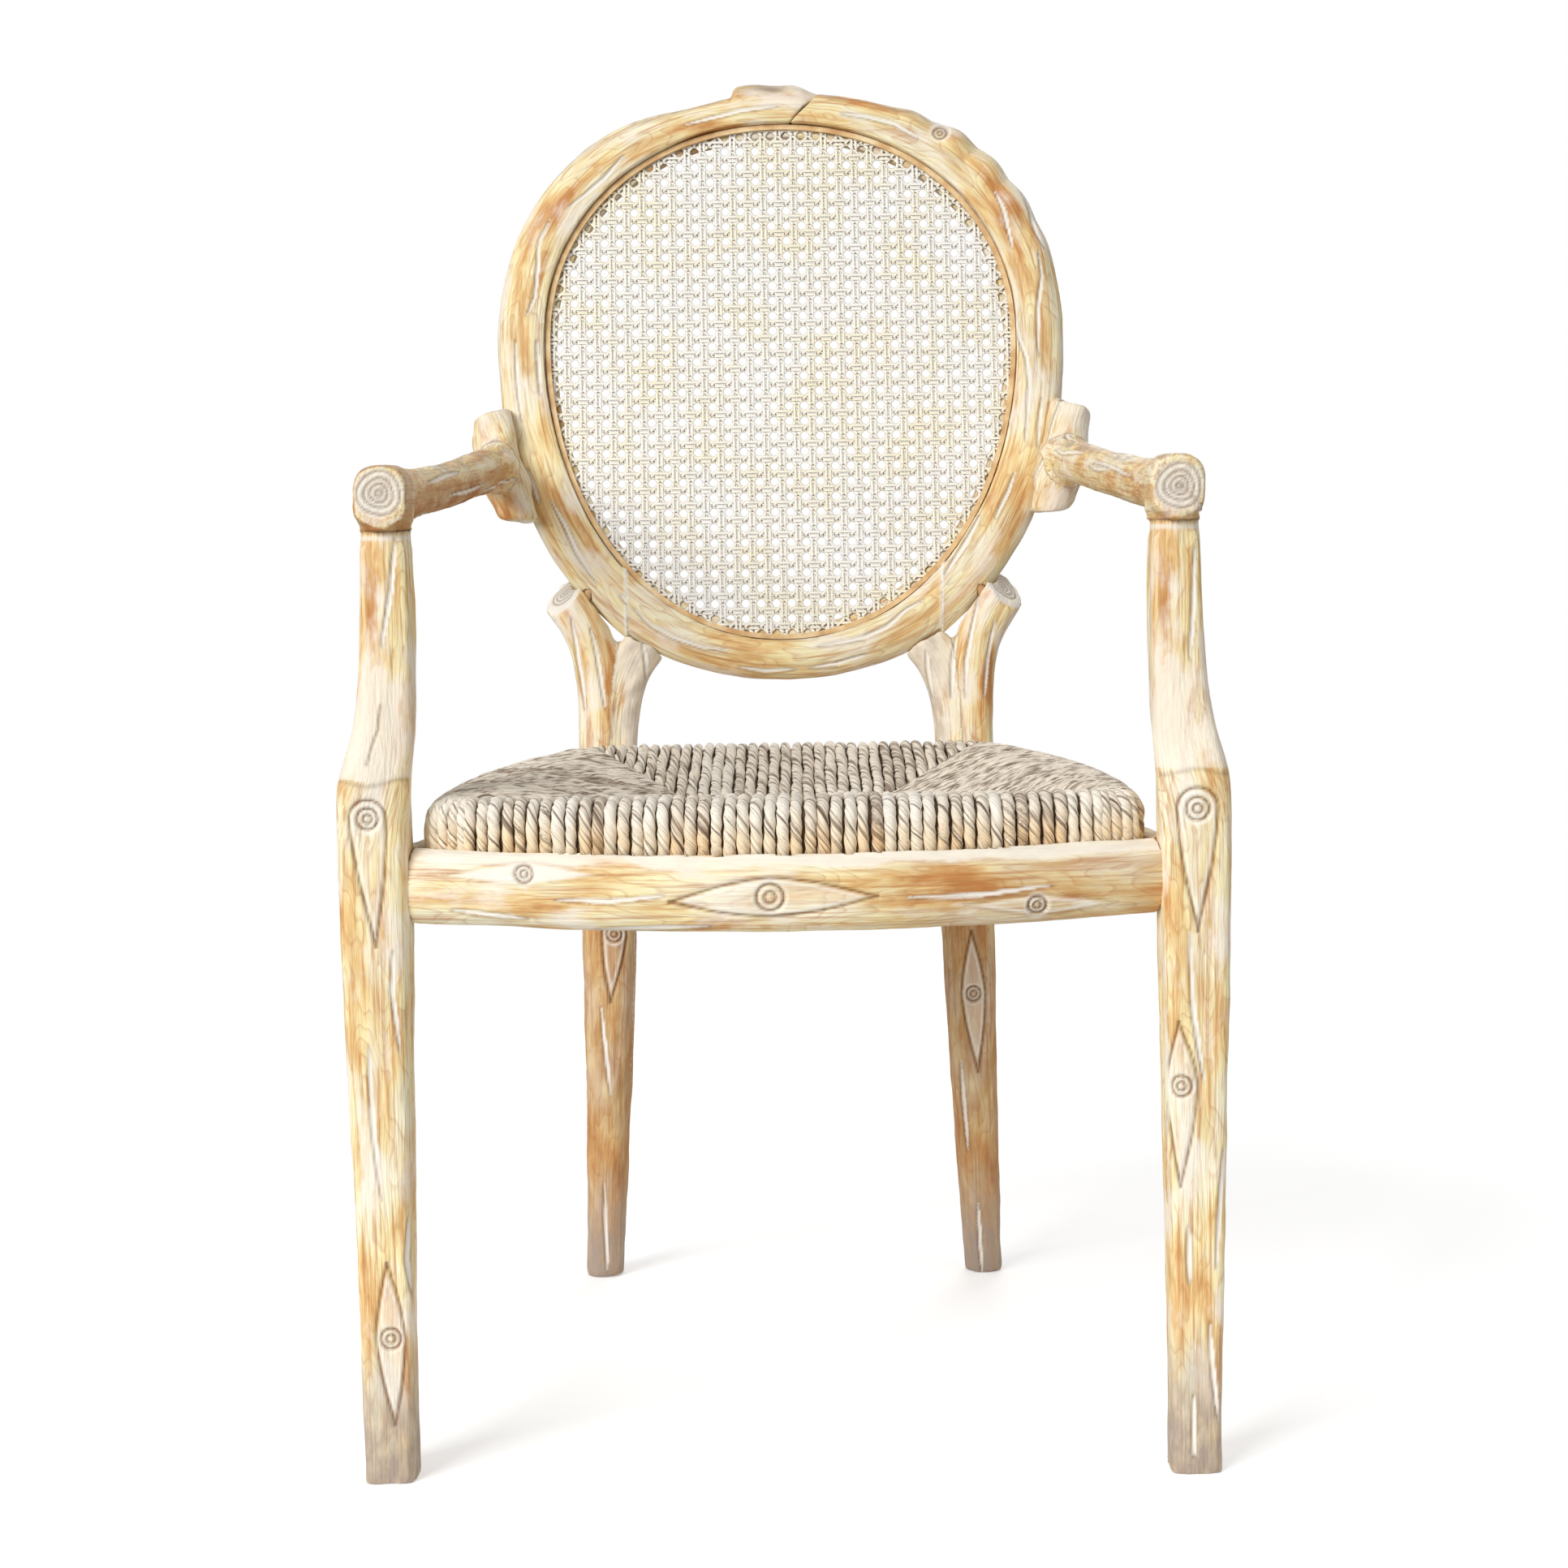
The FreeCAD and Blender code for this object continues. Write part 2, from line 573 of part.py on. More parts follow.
def side_rail_form():
    """Right side rail, bowed outwards, run on into both legs."""
    stations = []
    for share in (0.0, 0.25, 0.5, 0.75, 1.0):
        y = blend(0, BACK_LEG_FRONT + BACK_LEG_WIDTH / 4, share)
        slope = side_rail_x(y + 0.5) - side_rail_x(y - 0.5)
        across = Vector(1, -slope, 0).normalize()
        centre = Vector(side_rail_x(y), y, RAIL_MIDDLE)
        thickness = RAIL_THICKNESS * blend(1, SIDE_RAIL_TAPER, share)
        stations.append((centre, across, Z_AXIS, thickness, RAIL_HEIGHT))
    return branch(stations, RAIL_POWER)


def rear_rail_form():
    """Straight rear rail between the back legs."""
    y = REAR_RAIL_FRONT_Y + REAR_RAIL_THICKNESS / 2
    stations = []
    for x in (-BACK_LEG_X, BACK_LEG_X):
        stations.append((Vector(x, y, RAIL_MIDDLE), Y_AXIS, Z_AXIS, REAR_RAIL_THICKNESS, RAIL_HEIGHT))
    return branch(stations, RAIL_POWER)


def tenon(middle, half_x, half_y, clearance=0.0):
    """Flat tenon about its middle in plan, or its mortise with a clearance."""
    low = RAIL_MIDDLE - TENON_HEIGHT / 2 - clearance
    high = RAIL_MIDDLE + TENON_HEIGHT / 2 + clearance
    return block((middle[0] - half_x - clearance, middle[1] - half_y - clearance, low),
                 (middle[0] + half_x + clearance, middle[1] + half_y + clearance, high))


def rail_tenons(clearance=0.0):
    """Right-hand tenons of the front, side and rear rails, by name."""
    half = TENON_THICKNESS / 2
    front_y = front_rail_y(FRONT_LEG_INNER) - TENON_THICKNESS / 4
    front_back_y = FRONT_LEG_WIDTH / 2
    rear_y = REAR_RAIL_FRONT_Y + REAR_RAIL_THICKNESS - TENON_THICKNESS
    return {
        "front": tenon((FRONT_LEG_INNER, front_y), TENON_LENGTH, half, clearance),
        "side_front": tenon((SIDE_RAIL_FRONT_X + half, front_back_y), half, TENON_LENGTH, clearance),
        "side_back": tenon((SIDE_RAIL_BACK_X, BACK_LEG_FRONT), half, TENON_LENGTH, clearance),
        "rear": tenon((BACK_LEG_INNER, rear_y), TENON_LENGTH, half, clearance),
    }


def seat_core():
    """Plan of the loose seat, drawn in by its corner radius, with bowed front and sides."""
    inset = SEAT_CORNER_RADIUS
    front_y = -RAIL_THICKNESS / 2 + SEAT_FRONT_LIP + inset
    front_x = SEAT_FRONT_HALF_WIDTH - inset
    back_x = SEAT_BACK_HALF_WIDTH - inset
    back_y_line = SEAT_BACK_Y - inset
    side_x = (front_x + back_x) / 2 + SEAT_SIDE_BOW
    side_y = (front_y + back_y_line) / 2
    front_left = Vector(-front_x, front_y, 0)
    front_right = Vector(front_x, front_y, 0)
    back_right = Vector(back_x, back_y_line, 0)
    back_left = Vector(-back_x, back_y_line, 0)
    edges = [
        Part.Arc(front_left, Vector(0, front_y - FRONT_RAIL_BOW, 0), front_right).toShape(),
        Part.Arc(front_right, Vector(side_x, side_y, 0), back_right).toShape(),
        Part.LineSegment(back_right, back_left).toShape(),
        Part.Arc(back_left, Vector(-side_x, side_y, 0), front_left).toShape(),
    ]
    return Part.Wire(edges)


def seat_prism(inset, low, high):
    """Upright prism over the seat's plan, drawn in by an inset."""
    wire = seat_core().makeOffset2D(SEAT_CORNER_RADIUS - inset)
    wire.translate(Vector(0, 0, low))
    return Part.Face(wire).extrude(Vector(0, 0, high - low))


def seat_slats():
    """Front, rear, left and right slats of the hidden seat frame, with round tenons on the sides."""
    low = SEAT_BOTTOM + SLAT_RISE
    high = low + SLAT_THICKNESS
    ring = seat_prism(SLAT_INSET, low, high).cut(seat_prism(SLAT_INSET + SLAT_WIDTH, low, high))
    inner = seat_prism(SLAT_INSET + SLAT_WIDTH, low, high).BoundBox
    front_y = inner.YMin + FRONT_RAIL_BOW
    back_line = inner.YMax
    front = largest(ring.common(block((-REACH, -REACH, low), (REACH, front_y, high))))
    rear = largest(ring.common(block((-REACH, back_line, low), (REACH, 2 * REACH, high))))
    right = largest(ring.common(block((0, front_y, low), (REACH, back_line, high))))
    level = (low + high) / 2
    pegs = []
    for y in (front_y, back_line):
        face = largest(right.common(block((0, y - 1, low), (REACH, y + 1, high)))).CenterOfMass
        pegs.append(dowel(Vector(face.x, y, level), Y_AXIS, SLAT_TENON_DIAMETER, 2 * SLAT_TENON_LENGTH))
    right = right.fuse(pegs).removeSplitter()
    left = mirrored(right)
    front = front.cut([right, left])
    rear = rear.cut([right, left])
    return front, rear, left, right


def rush_seat():
    """Wound rush: rolled edges, four sections that sag to the middle, and room for the slats inside."""
    plan = seat_prism(0, SEAT_BOTTOM, SEAT_BOTTOM + SEAT_BACK_HEIGHT)
    box = plan.BoundBox
    front_top = SEAT_BOTTOM + SEAT_FRONT_HEIGHT
    back_top = SEAT_BOTTOM + SEAT_BACK_HEIGHT
    slope = [Vector(-REACH, box.YMin, front_top), Vector(-REACH, box.YMax, back_top),
             Vector(-REACH, box.YMax, back_top + REACH), Vector(-REACH, box.YMin, back_top + REACH)]
    wedge = Part.Face(Part.makePolygon(slope + slope[:1])).extrude(X_AXIS * (2 * REACH))
    body = largest(plan.cut(wedge))
    top = max(body.Faces, key=lambda face: face.CenterOfMass.z)
    body = body.makeFillet(SEAT_ROLL_RADIUS, top.Edges)
    bottom = min(body.Faces, key=lambda face: face.CenterOfMass.z)
    body = body.makeFillet(SEAT_EDGE_ROLL, bottom.Edges)

    def on_slope(x, y):
        share = (y - box.YMin) / (box.YMax - box.YMin)
        return Vector(x, y, blend(front_top, back_top, share))

    front_line = box.YMin + FRONT_RAIL_BOW / 2 + SEAT_SAG_BORDER
    back_line = SEAT_BACK_Y - SEAT_SAG_BORDER
    front_x = SEAT_FRONT_HALF_WIDTH - SEAT_SAG_BORDER
    back_x = SEAT_BACK_HALF_WIDTH - SEAT_SAG_BORDER
    rim = [on_slope(-front_x, front_line), on_slope(front_x, front_line),
           on_slope(back_x, back_line), on_slope(-back_x, back_line)]
    sag_z = SEAT_BOTTOM + SEAT_SAG_HEIGHT
    sag = [Vector(-SEAT_SAG_HALF_WIDTH, SEAT_SAG_Y, sag_z), Vector(SEAT_SAG_HALF_WIDTH, SEAT_SAG_Y, sag_z)]
    dish = sag_solid(rim, sag)
    low = SEAT_BOTTOM + SLAT_RISE - SLAT_CLEARANCE
    high = SEAT_BOTTOM + SLAT_RISE + SLAT_THICKNESS + SLAT_CLEARANCE
    hollow = seat_prism(SLAT_INSET - SLAT_CLEARANCE, low, high)
    hollow = hollow.cut(seat_prism(SLAT_INSET + SLAT_WIDTH + SLAT_CLEARANCE, low, high))
    return body.cut(dish).cut(hollow)


def sag_solid(rim, sag):
    """Solid above the four sagging sections, from the rim down to the middle seam."""
    front_left, front_right, back_right, back_left = rim
    left, right = sag
    lids = [[front_left, front_right, right], [front_left, right, left], [front_right, back_right, right],
            [back_right, back_left, left], [back_right, left, right], [back_left, front_left, left]]
    lids += [[front_left, back_left, back_right], [front_left, back_right, front_right]]
    faces = [Part.Face(Part.makePolygon(corners + corners[:1])) for corners in lids]
    return Part.makeSolid(Part.makeShell(faces))


def block_plans():
    """Plan corners of the right-hand glue blocks: along one rail, at the leg, and along the side rail."""
    front_x = FRONT_LEG_INNER - BLOCK_REACH
    front_y = FRONT_LEG_WIDTH / 2 + BLOCK_REACH
    rear_x = BACK_LEG_INNER - REAR_BLOCK_REACH
    rear_y = BACK_LEG_FRONT - BLOCK_REACH
    rear_line = REAR_RAIL_FRONT_Y + REAR_RAIL_THICKNESS / 2
    return {
        "front": (Vector(front_x, front_rail_y(front_x), 0), Vector(FRONT_LEG_X, 0, 0),
                  Vector(side_rail_x(front_y), front_y, 0)),
        "rear": (Vector(rear_x, rear_line, 0), Vector(BACK_LEG_X, BACK_LEG_Y, 0),
                 Vector(side_rail_x(rear_y), rear_y, 0)),
    }


def corner_prism(plan):
    """Upright glue block over three corners in plan."""
    low = LEDGE_Z - BLOCK_DROP - BLOCK_HEIGHT
    corners = [corner + Z_AXIS * low for corner in plan]
    return Part.Face(Part.makePolygon(corners + corners[:1])).extrude(Z_AXIS * BLOCK_HEIGHT)


def screw(head, direction):
    """Countersunk wood screw from the middle of its head, and the hole that its head goes in by."""
    shank = Part.makeCylinder(SCREW_DIAMETER / 2, SCREW_LENGTH, head, direction)
    cone = Part.makeCone(SCREW_HEAD_DIAMETER / 2, SCREW_DIAMETER / 2, SCREW_HEAD_HEIGHT, head, direction)
    way = Part.makeCylinder(SCREW_HEAD_DIAMETER / 2, SCREW_LENGTH, head - direction * SCREW_LENGTH, direction)
    return shank.fuse(cone).removeSplitter(), way


def block_screws():
    """Right-hand screws and their holes, by block: one into the rail across, one into the side rail."""
    level = Z_AXIS * (LEDGE_Z - BLOCK_DROP - BLOCK_HEIGHT / 2)
    plans = block_plans()
    places = {
        "front": zip(FRONT_SCREW_SHARES, (-Y_AXIS, X_AXIS)),
        "rear": zip(REAR_SCREW_SHARES, (Y_AXIS, X_AXIS)),
    }
    screws = {}
    for name, pair in places.items():
        start, _, end = plans[name]
        screws[name] = []
        for share, direction in pair:
            face = start + (end - start) * share + level
            screws[name].append(screw(face + direction * SCREW_SINK, direction))
    return screws


def cane_hole(across, rise):
    """Eight-sided opening through the cane, at a place in the back's plane."""
    radius = CANE_HOLE_WIDTH / 2 / math.cos(math.pi / CANE_HOLE_SIDES)
    middle = BACK_CENTRE + X_AXIS * across + BACK_UP * rise + BACK_FRONT * (CANE_FRONT - 2 * CANE_THICKNESS)
    corners = []
    for step in range(CANE_HOLE_SIDES + 1):
        turn = 2 * math.pi * (step + 0.5) / CANE_HOLE_SIDES
        corners.append(middle + X_AXIS * (radius * math.cos(turn)) + BACK_UP * (radius * math.sin(turn)))
    return Part.Face(Part.makePolygon(corners)).extrude(BACK_FRONT * (3 * CANE_THICKNESS))


def cane_holes():
    """Coarse grid of openings, clear of the ledge, that stands for the open weave."""
    holes = []
    columns = int(OPENING_HALF_WIDTH / CANE_HOLE_PITCH)
    rows = int(OPENING_DROP / CANE_HOLE_PITCH)
    for column in range(-columns, columns + 1):
        for row in range(-rows, rows + 1):
            across, rise = column * CANE_HOLE_PITCH, row * CANE_HOLE_PITCH
            limit = oval_opening(math.atan2(rise, across), LEDGE_WIDTH + CANE_HOLE_MARGIN)
            if math.hypot(across, rise) + CANE_HOLE_WIDTH / 2 < limit:
                holes.append(cane_hole(across, rise))
    return holes


def cane_panel():
    """Sheet of pressed cane on the rebate's ledge, opened by a coarse grid."""
    sheet = opening_plate(CANE_CLEARANCE, CANE_FRONT - CANE_THICKNESS, CANE_FRONT)
    return sheet.cut(cane_holes())


def cane_spline():
    """Reed ring that holds the cane's edge in the corner of the rebate."""
    ring = opening_plate(CANE_CLEARANCE, CANE_FRONT, CANE_FRONT + REED_HEIGHT)
    return ring.cut(opening_plate(CANE_CLEARANCE + REED_WIDTH, CANE_FRONT, CANE_FRONT + REED_HEIGHT))


def both(shapes):
    """Right-hand shapes with their left-hand copies."""
    return list(shapes) + [mirrored(shape) for shape in shapes]


def seat_rails(leg, back_leg):
    """Front, side and rear rails, shouldered against the legs, rebated for the seat, with their tenons."""
    pocket = seat_prism(-SEAT_CLEARANCE, LEDGE_Z, RAIL_TOP + RAIL_HEIGHT)
    tenons = rail_tenons()
    front = largest(front_rail_form().cut(both([leg, tenons["side_front"]]) + [pocket]))
    side = largest(side_rail_form().cut([leg, back_leg, front, pocket]))
    rear = largest(rear_rail_form().cut(both([back_leg, side]) + [pocket]))
    front = front.fuse(both([tenons["front"]]))
    side = side.fuse([tenons["side_front"], tenons["side_back"]])
    rear = rear.fuse(both([tenons["rear"]]))
    return front, side, rear


def build():
    """Every node of the chair, by name, about the front legs' plane."""
    mortises = rail_tenons(MORTISE_CLEARANCE)
    leg_form = front_leg_form()
    stem_form = back_leg_form()
    left_form, right_form, lower_form = oval_forms()
    left_stile, right_stile, lower_rail = oval_frame(left_form, right_form, lower_form)
    front_rail, side_rail, rear_rail = seat_rails(leg_form, stem_form)
    oval_pins = oval_dowels()
    arm_pins = both(arm_dowels())
    stem_pins = both(stem_dowels())

    front_leg = leg_form.fuse(post_tenon(0)).cut([mortises["front"], mortises["side_front"]])
    back_leg = stem_form.cut([mortises["side_back"], mortises["rear"]])
    arm = arm_form().cut([post_tenon(MORTISE_CLEARANCE)])
    nodes = {
        "front_leg_left": mirrored(front_leg),
        "front_leg_right": front_leg,
        "arm_left": largest(mirrored(arm).cut([left_form] + arm_pins)),
        "arm_right": largest(arm.cut([right_form] + arm_pins)),
        "back_leg_left": largest(mirrored(back_leg).cut([left_form, lower_form] + stem_pins)),
        "back_leg_right": largest(back_leg.cut([right_form, lower_form] + stem_pins)),
        "back_stile_left": largest(left_stile.cut(oval_pins + arm_pins + stem_pins)),
        "back_stile_right": largest(right_stile.cut(oval_pins + arm_pins + stem_pins)),
        "back_lower_rail": largest(lower_rail.cut(oval_pins + stem_pins)),
        "oval_dowels": Part.makeCompound(oval_pins),
        "arm_dowels": Part.makeCompound(arm_pins),
        "stem_dowels": Part.makeCompound(stem_pins),
        "cane_panel": cane_panel(),
        "cane_spline": cane_spline(),
    }

    screws = block_screws()
    front_screws = [item for item, way in screws["front"]]
    rear_screws = [item for item, way in screws["rear"]]
    plans = block_plans()
    front_block = corner_prism(plans["front"]).cut([front_rail, side_rail, leg_form])
    front_block = largest(largest(front_block).cut([shape for pair in screws["front"] for shape in pair]))
    rear_block = corner_prism(plans["rear"]).cut([rear_rail, side_rail, stem_form])
    rear_block = largest(largest(rear_block).cut([shape for pair in screws["rear"] for shape in pair]))
    side_rail = largest(side_rail.cut(front_screws + rear_screws))
    nodes["front_seat_rail"] = largest(front_rail.cut(both(front_screws)))
    nodes["rear_seat_rail"] = largest(rear_rail.cut(both(rear_screws)))
    nodes["side_seat_rail_left"] = mirrored(side_rail)
    nodes["side_seat_rail_right"] = side_rail
    nodes["corner_block_front_left"] = mirrored(front_block)
    nodes["corner_block_front_right"] = front_block
    nodes["corner_block_rear_left"] = mirrored(rear_block)
    nodes["corner_block_rear_right"] = rear_block
    nodes["corner_block_screws"] = Part.makeCompound(both(front_screws + rear_screws))

    slats = seat_slats()
    for name, slat in zip(("front", "rear", "left", "right"), slats):
        nodes["seat_frame_" + name] = slat
    nodes["rush_seat"] = rush_seat()
    return nodes


def main():
    """Write every node with the origin under the middle of the chair's box."""
    nodes = build()
    box = FreeCAD.BoundBox()
    for shape in nodes.values():
        box.add(shape.optimalBoundingBox(False, False))
    shift = Vector(-box.Center.x, -box.Center.y, -box.ZMin)
    os.makedirs("parts", exist_ok=True)
    for name, shape in nodes.items():
        shape.translate(shift)
        shape.exportStep("parts/" + name + ".step")
    print("box", [round(value, 2) for value in (box.XLength, box.YLength, box.ZLength)], "shift", shift)


main()
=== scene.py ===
"""Looks of the faux bois armchair: carved limed wood, woven cane back and twisted rush seat."""
import math

import bmesh
import bpy
import numpy as np
from mathutils import Matrix, Vector
from mathutils.bvhtree import BVHTree


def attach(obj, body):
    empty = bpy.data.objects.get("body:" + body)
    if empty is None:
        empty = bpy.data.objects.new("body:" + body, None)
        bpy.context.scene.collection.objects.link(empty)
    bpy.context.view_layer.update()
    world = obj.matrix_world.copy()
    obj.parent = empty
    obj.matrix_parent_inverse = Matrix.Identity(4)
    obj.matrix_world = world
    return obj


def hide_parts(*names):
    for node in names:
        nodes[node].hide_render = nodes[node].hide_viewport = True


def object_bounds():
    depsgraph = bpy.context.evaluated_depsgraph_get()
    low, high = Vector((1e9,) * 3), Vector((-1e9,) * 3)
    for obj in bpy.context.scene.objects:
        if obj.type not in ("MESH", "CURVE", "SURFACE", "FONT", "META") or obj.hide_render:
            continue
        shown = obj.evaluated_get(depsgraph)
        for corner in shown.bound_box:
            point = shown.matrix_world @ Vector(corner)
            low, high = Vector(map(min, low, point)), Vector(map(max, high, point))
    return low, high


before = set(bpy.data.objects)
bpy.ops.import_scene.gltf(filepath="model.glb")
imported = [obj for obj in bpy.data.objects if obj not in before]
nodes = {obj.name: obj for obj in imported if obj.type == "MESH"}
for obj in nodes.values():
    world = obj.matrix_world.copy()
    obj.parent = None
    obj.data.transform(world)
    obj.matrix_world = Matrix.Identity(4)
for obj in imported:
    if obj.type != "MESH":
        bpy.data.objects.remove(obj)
cad_low, cad_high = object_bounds()

# Places are written in millimetres, with Y measured from the plane of the front legs
FRONT_LEG_PLANE = 236.41

# Raked back
RAKE = math.radians(9.0)
BACK_UP = np.array((0.0, math.sin(RAKE), math.cos(RAKE)))
BACK_FRONT = np.array((0.0, -math.cos(RAKE), math.sin(RAKE)))
BACK_FOOT_Y = 414.0
BACK_FOOT_Z = 455.0
OVAL_CENTRE_Z = 805.0
CANE_PITCH = 12.7

# The oval and its opening: half width, rise, drop, and the power of the curve
OVAL = (236.0, 209.6, 285.5, 2.3)
OPENING = (196.0, 180.6, 253.1, 2.08)

# Branches on the right-hand side
LEG_X = 275.5
SHOULDER_Z = 480.0
POST_X = 263.5
POST_Y = 8.0
ARM_FRONT_Y = -18.0
ARM_Z = 669.0
ARM_BACK_Z = 703.0
LIMB_BOTTOM_Z = 660.0
LIMB_TOP_Z = 748.0
LIMB_OUT = 7.0
LIMB_AHEAD = 20.0
BACK_LEG_X = 148.0
BACK_LEG_SPLAY = 18.0
BACK_LEG_SWEEP = 96.0
SWEEP_TOP_Z = 383.0
STEM_X = 153.0
STEM_OUT = 35.5
STEM_TOP_Z = 604.0
FORK_X = 136.0
FORK_IN = 24.0
FORK_Z = 435.0
FORK_RISE = 120.0

# Seat rails
RAIL_Z = 409.0
SIDE_RAIL_X = 257.0
SIDE_RAIL_BOW = 18.0
SIDE_RAIL_NARROWING = 97.0
FRONT_RAIL_HALF = 255.0
FRONT_RAIL_BOW = 38.0
REAR_RAIL_HALF = 150.0
REAR_RAIL_Y = 393.0


def back_y(z):
    """Y of the raked back's middle plane at a height."""
    return BACK_FOOT_Y + (z - BACK_FOOT_Z) * math.tan(RAKE)


def to_mm(points):
    """The frame's metres to the millimetres used here."""
    return np.asarray(points, dtype=float) * 1000.0 + np.array((0.0, FRONT_LEG_PLANE, 0.0))


def to_metres(points):
    """The millimetres used here to the frame's metres."""
    return (np.asarray(points, dtype=float) - np.array((0.0, FRONT_LEG_PLANE, 0.0))) / 1000.0


def smooth(low, high, value):
    """Eased step from 0 at low to 1 at high."""
    t = np.clip((value - low) / (high - low), 0.0, 1.0)
    return t * t * (3.0 - 2.0 * t)


def bell(distance, width):
    """1 at no distance, falling away over a width."""
    return np.exp(-(distance / width) ** 2)


def unit(vectors):
    """Vectors at length one."""
    return vectors / np.maximum(np.linalg.norm(vectors, axis=-1, keepdims=True), 1e-9)


def waves(points, seed, count=10):
    """Smooth seeded noise between about -1 and 1, with features about one unit across."""
    random = np.random.default_rng(seed)
    total = np.zeros(len(points))
    for _ in range(count):
        direction = random.normal(size=3) * 2.2
        total += np.sin(points @ direction + random.uniform(0, 2 * math.pi))
    return total / math.sqrt(count)


def linear(red, green, blue):
    """A colour written as 0 to 255 screen values, as the shader wants it."""
    values = np.array((red, green, blue)) / 255.0
    values = np.where(values <= 0.04045, values / 12.92, ((values + 0.055) / 1.055) ** 2.4)
    return (*values.tolist(), 1.0)


# Branch axes
def oval_reach(turn, outline):
    """Distance from the oval's centre to an outline, at a turn from the right-hand side."""
    width, rise, drop, power = outline
    across, up = math.cos(turn), math.sin(turn)
    height = rise if up > 0 else drop
    return (abs(across / width) ** power + abs(up / height) ** power) ** (-1 / power)


def oval_point(turn, reach):
    """A point of the back's middle plane."""
    centre = np.array((0.0, back_y(OVAL_CENTRE_Z), OVAL_CENTRE_Z))
    return centre + np.array((reach * math.cos(turn), 0, 0)) + BACK_UP * reach * math.sin(turn)


def oval_axis(first, last, steps=90):
    """Middle line of the oval between two turns, in degrees."""
    points = []
    for turn in np.radians(np.linspace(first, last, steps)):
        reach = (oval_reach(turn, OVAL) + oval_reach(turn, OPENING)) / 2
        points.append(oval_point(turn, reach))
    return np.array(points)


def oval_side_x(z):
    """Half width of the oval's outline at a height below its centre."""
    share = (OVAL_CENTRE_Z - z) / math.cos(RAKE) / OVAL[2]
    return OVAL[0] * (1 - share ** OVAL[3]) ** (1 / OVAL[3])


def limb_middle(z):
    """Middle of the lopped limb beside the right stile."""
    return np.array((oval_side_x(z) + LIMB_OUT, back_y(z) - LIMB_AHEAD, z))


def limb_axis():
    """Middle line of that limb."""
    return np.array([limb_middle(z) for z in np.linspace(LIMB_BOTTOM_Z, LIMB_TOP_Z, 12)])


def arm_axis():
    """Middle line of the right arm."""
    share = np.linspace(-0.05, 1, 60)
    eased = np.clip(share, 0, 1)
    back = limb_middle(ARM_BACK_Z)
    x = POST_X + (back[0] - POST_X) * eased ** 1.6
    y = ARM_FRONT_Y + (back[1] - ARM_FRONT_Y) * share
    z = ARM_Z + (ARM_BACK_Z - ARM_Z) * eased ** 1.5
    return np.column_stack((x, y, z))


def back_leg_axis():
    """Middle line of the right back leg and its lopped stem."""
    points = []
    for share in np.linspace(0, 1, 40):
        below = 1 - share
        x = BACK_LEG_X + BACK_LEG_SPLAY * below ** 1.5
        y = BACK_FOOT_Y + BACK_LEG_SWEEP * below ** 1.4
        points.append((x, y, SWEEP_TOP_Z * share))
    for share in np.linspace(0, 1, 30):
        z = BACK_FOOT_Z + (STEM_TOP_Z - BACK_FOOT_Z) * share
        points.append((STEM_X + STEM_OUT * share ** 4.5, back_y(z), z))
    return np.array(points)


def fork_axis():
    """Middle line of the inner fork of the right back leg."""
    share = np.linspace(0.15, 1, 30)
    z = FORK_Z + FORK_RISE * share
    return np.column_stack((FORK_X - FORK_IN * share ** 4, back_y(z), z))


def front_leg_axis():
    """Middle line of the right front leg and arm post."""
    leg = ((LEG_X, 0, -5), (LEG_X, 0, 435))
    bend = ((272.5, 2, 455), (266, 6, SHOULDER_Z))
    post = ((POST_X, POST_Y, 500), (POST_X, POST_Y, 670))
    return np.array((*leg, *bend, *post))


def side_rail_axis():
    """Middle line of the right side rail."""
    share = np.linspace(0, 1, 40)
    x = SIDE_RAIL_X + SIDE_RAIL_BOW * np.sin(math.pi * share) - SIDE_RAIL_NARROWING * share
    return np.column_stack((x, BACK_FOOT_Y * share, np.full(len(share), RAIL_Z)))


def front_rail_axis():
    """Middle line of the bowed front rail."""
    x = np.linspace(-FRONT_RAIL_HALF, FRONT_RAIL_HALF, 60)
    y = -FRONT_RAIL_BOW * (1 - (x / FRONT_RAIL_HALF) ** 2)
    return np.column_stack((x, y, np.full(len(x), RAIL_Z)))


def rear_rail_axis():
    """Middle line of the straight rear rail."""
    return np.array(((-REAR_RAIL_HALF, REAR_RAIL_Y, RAIL_Z), (REAR_RAIL_HALF, REAR_RAIL_Y, RAIL_Z)))


def run_lengths(path):
    """How far along a path each of its points is."""
    return np.concatenate(((0,), np.cumsum(np.linalg.norm(np.diff(path, axis=0), axis=1))))


def resampled(path, step):
    """A path at even steps."""
    path = np.asarray(path, dtype=float)
    lengths = run_lengths(path)
    count = max(int(lengths[-1] / step), 2)
    places = np.linspace(0, lengths[-1], count + 1)
    return np.column_stack([np.interp(places, lengths, path[:, axis]) for axis in range(3)])


def mirrored(path):
    """The left-hand twin of a path."""
    return np.asarray(path) * np.array((-1.0, 1.0, 1.0))


# Spacing of an axis's points, the grain's jump from one axis to the next, and points handled at a time
AXIS_STEP = 4.0
AXIS_JUMP = 700.0
BATCH = 4000


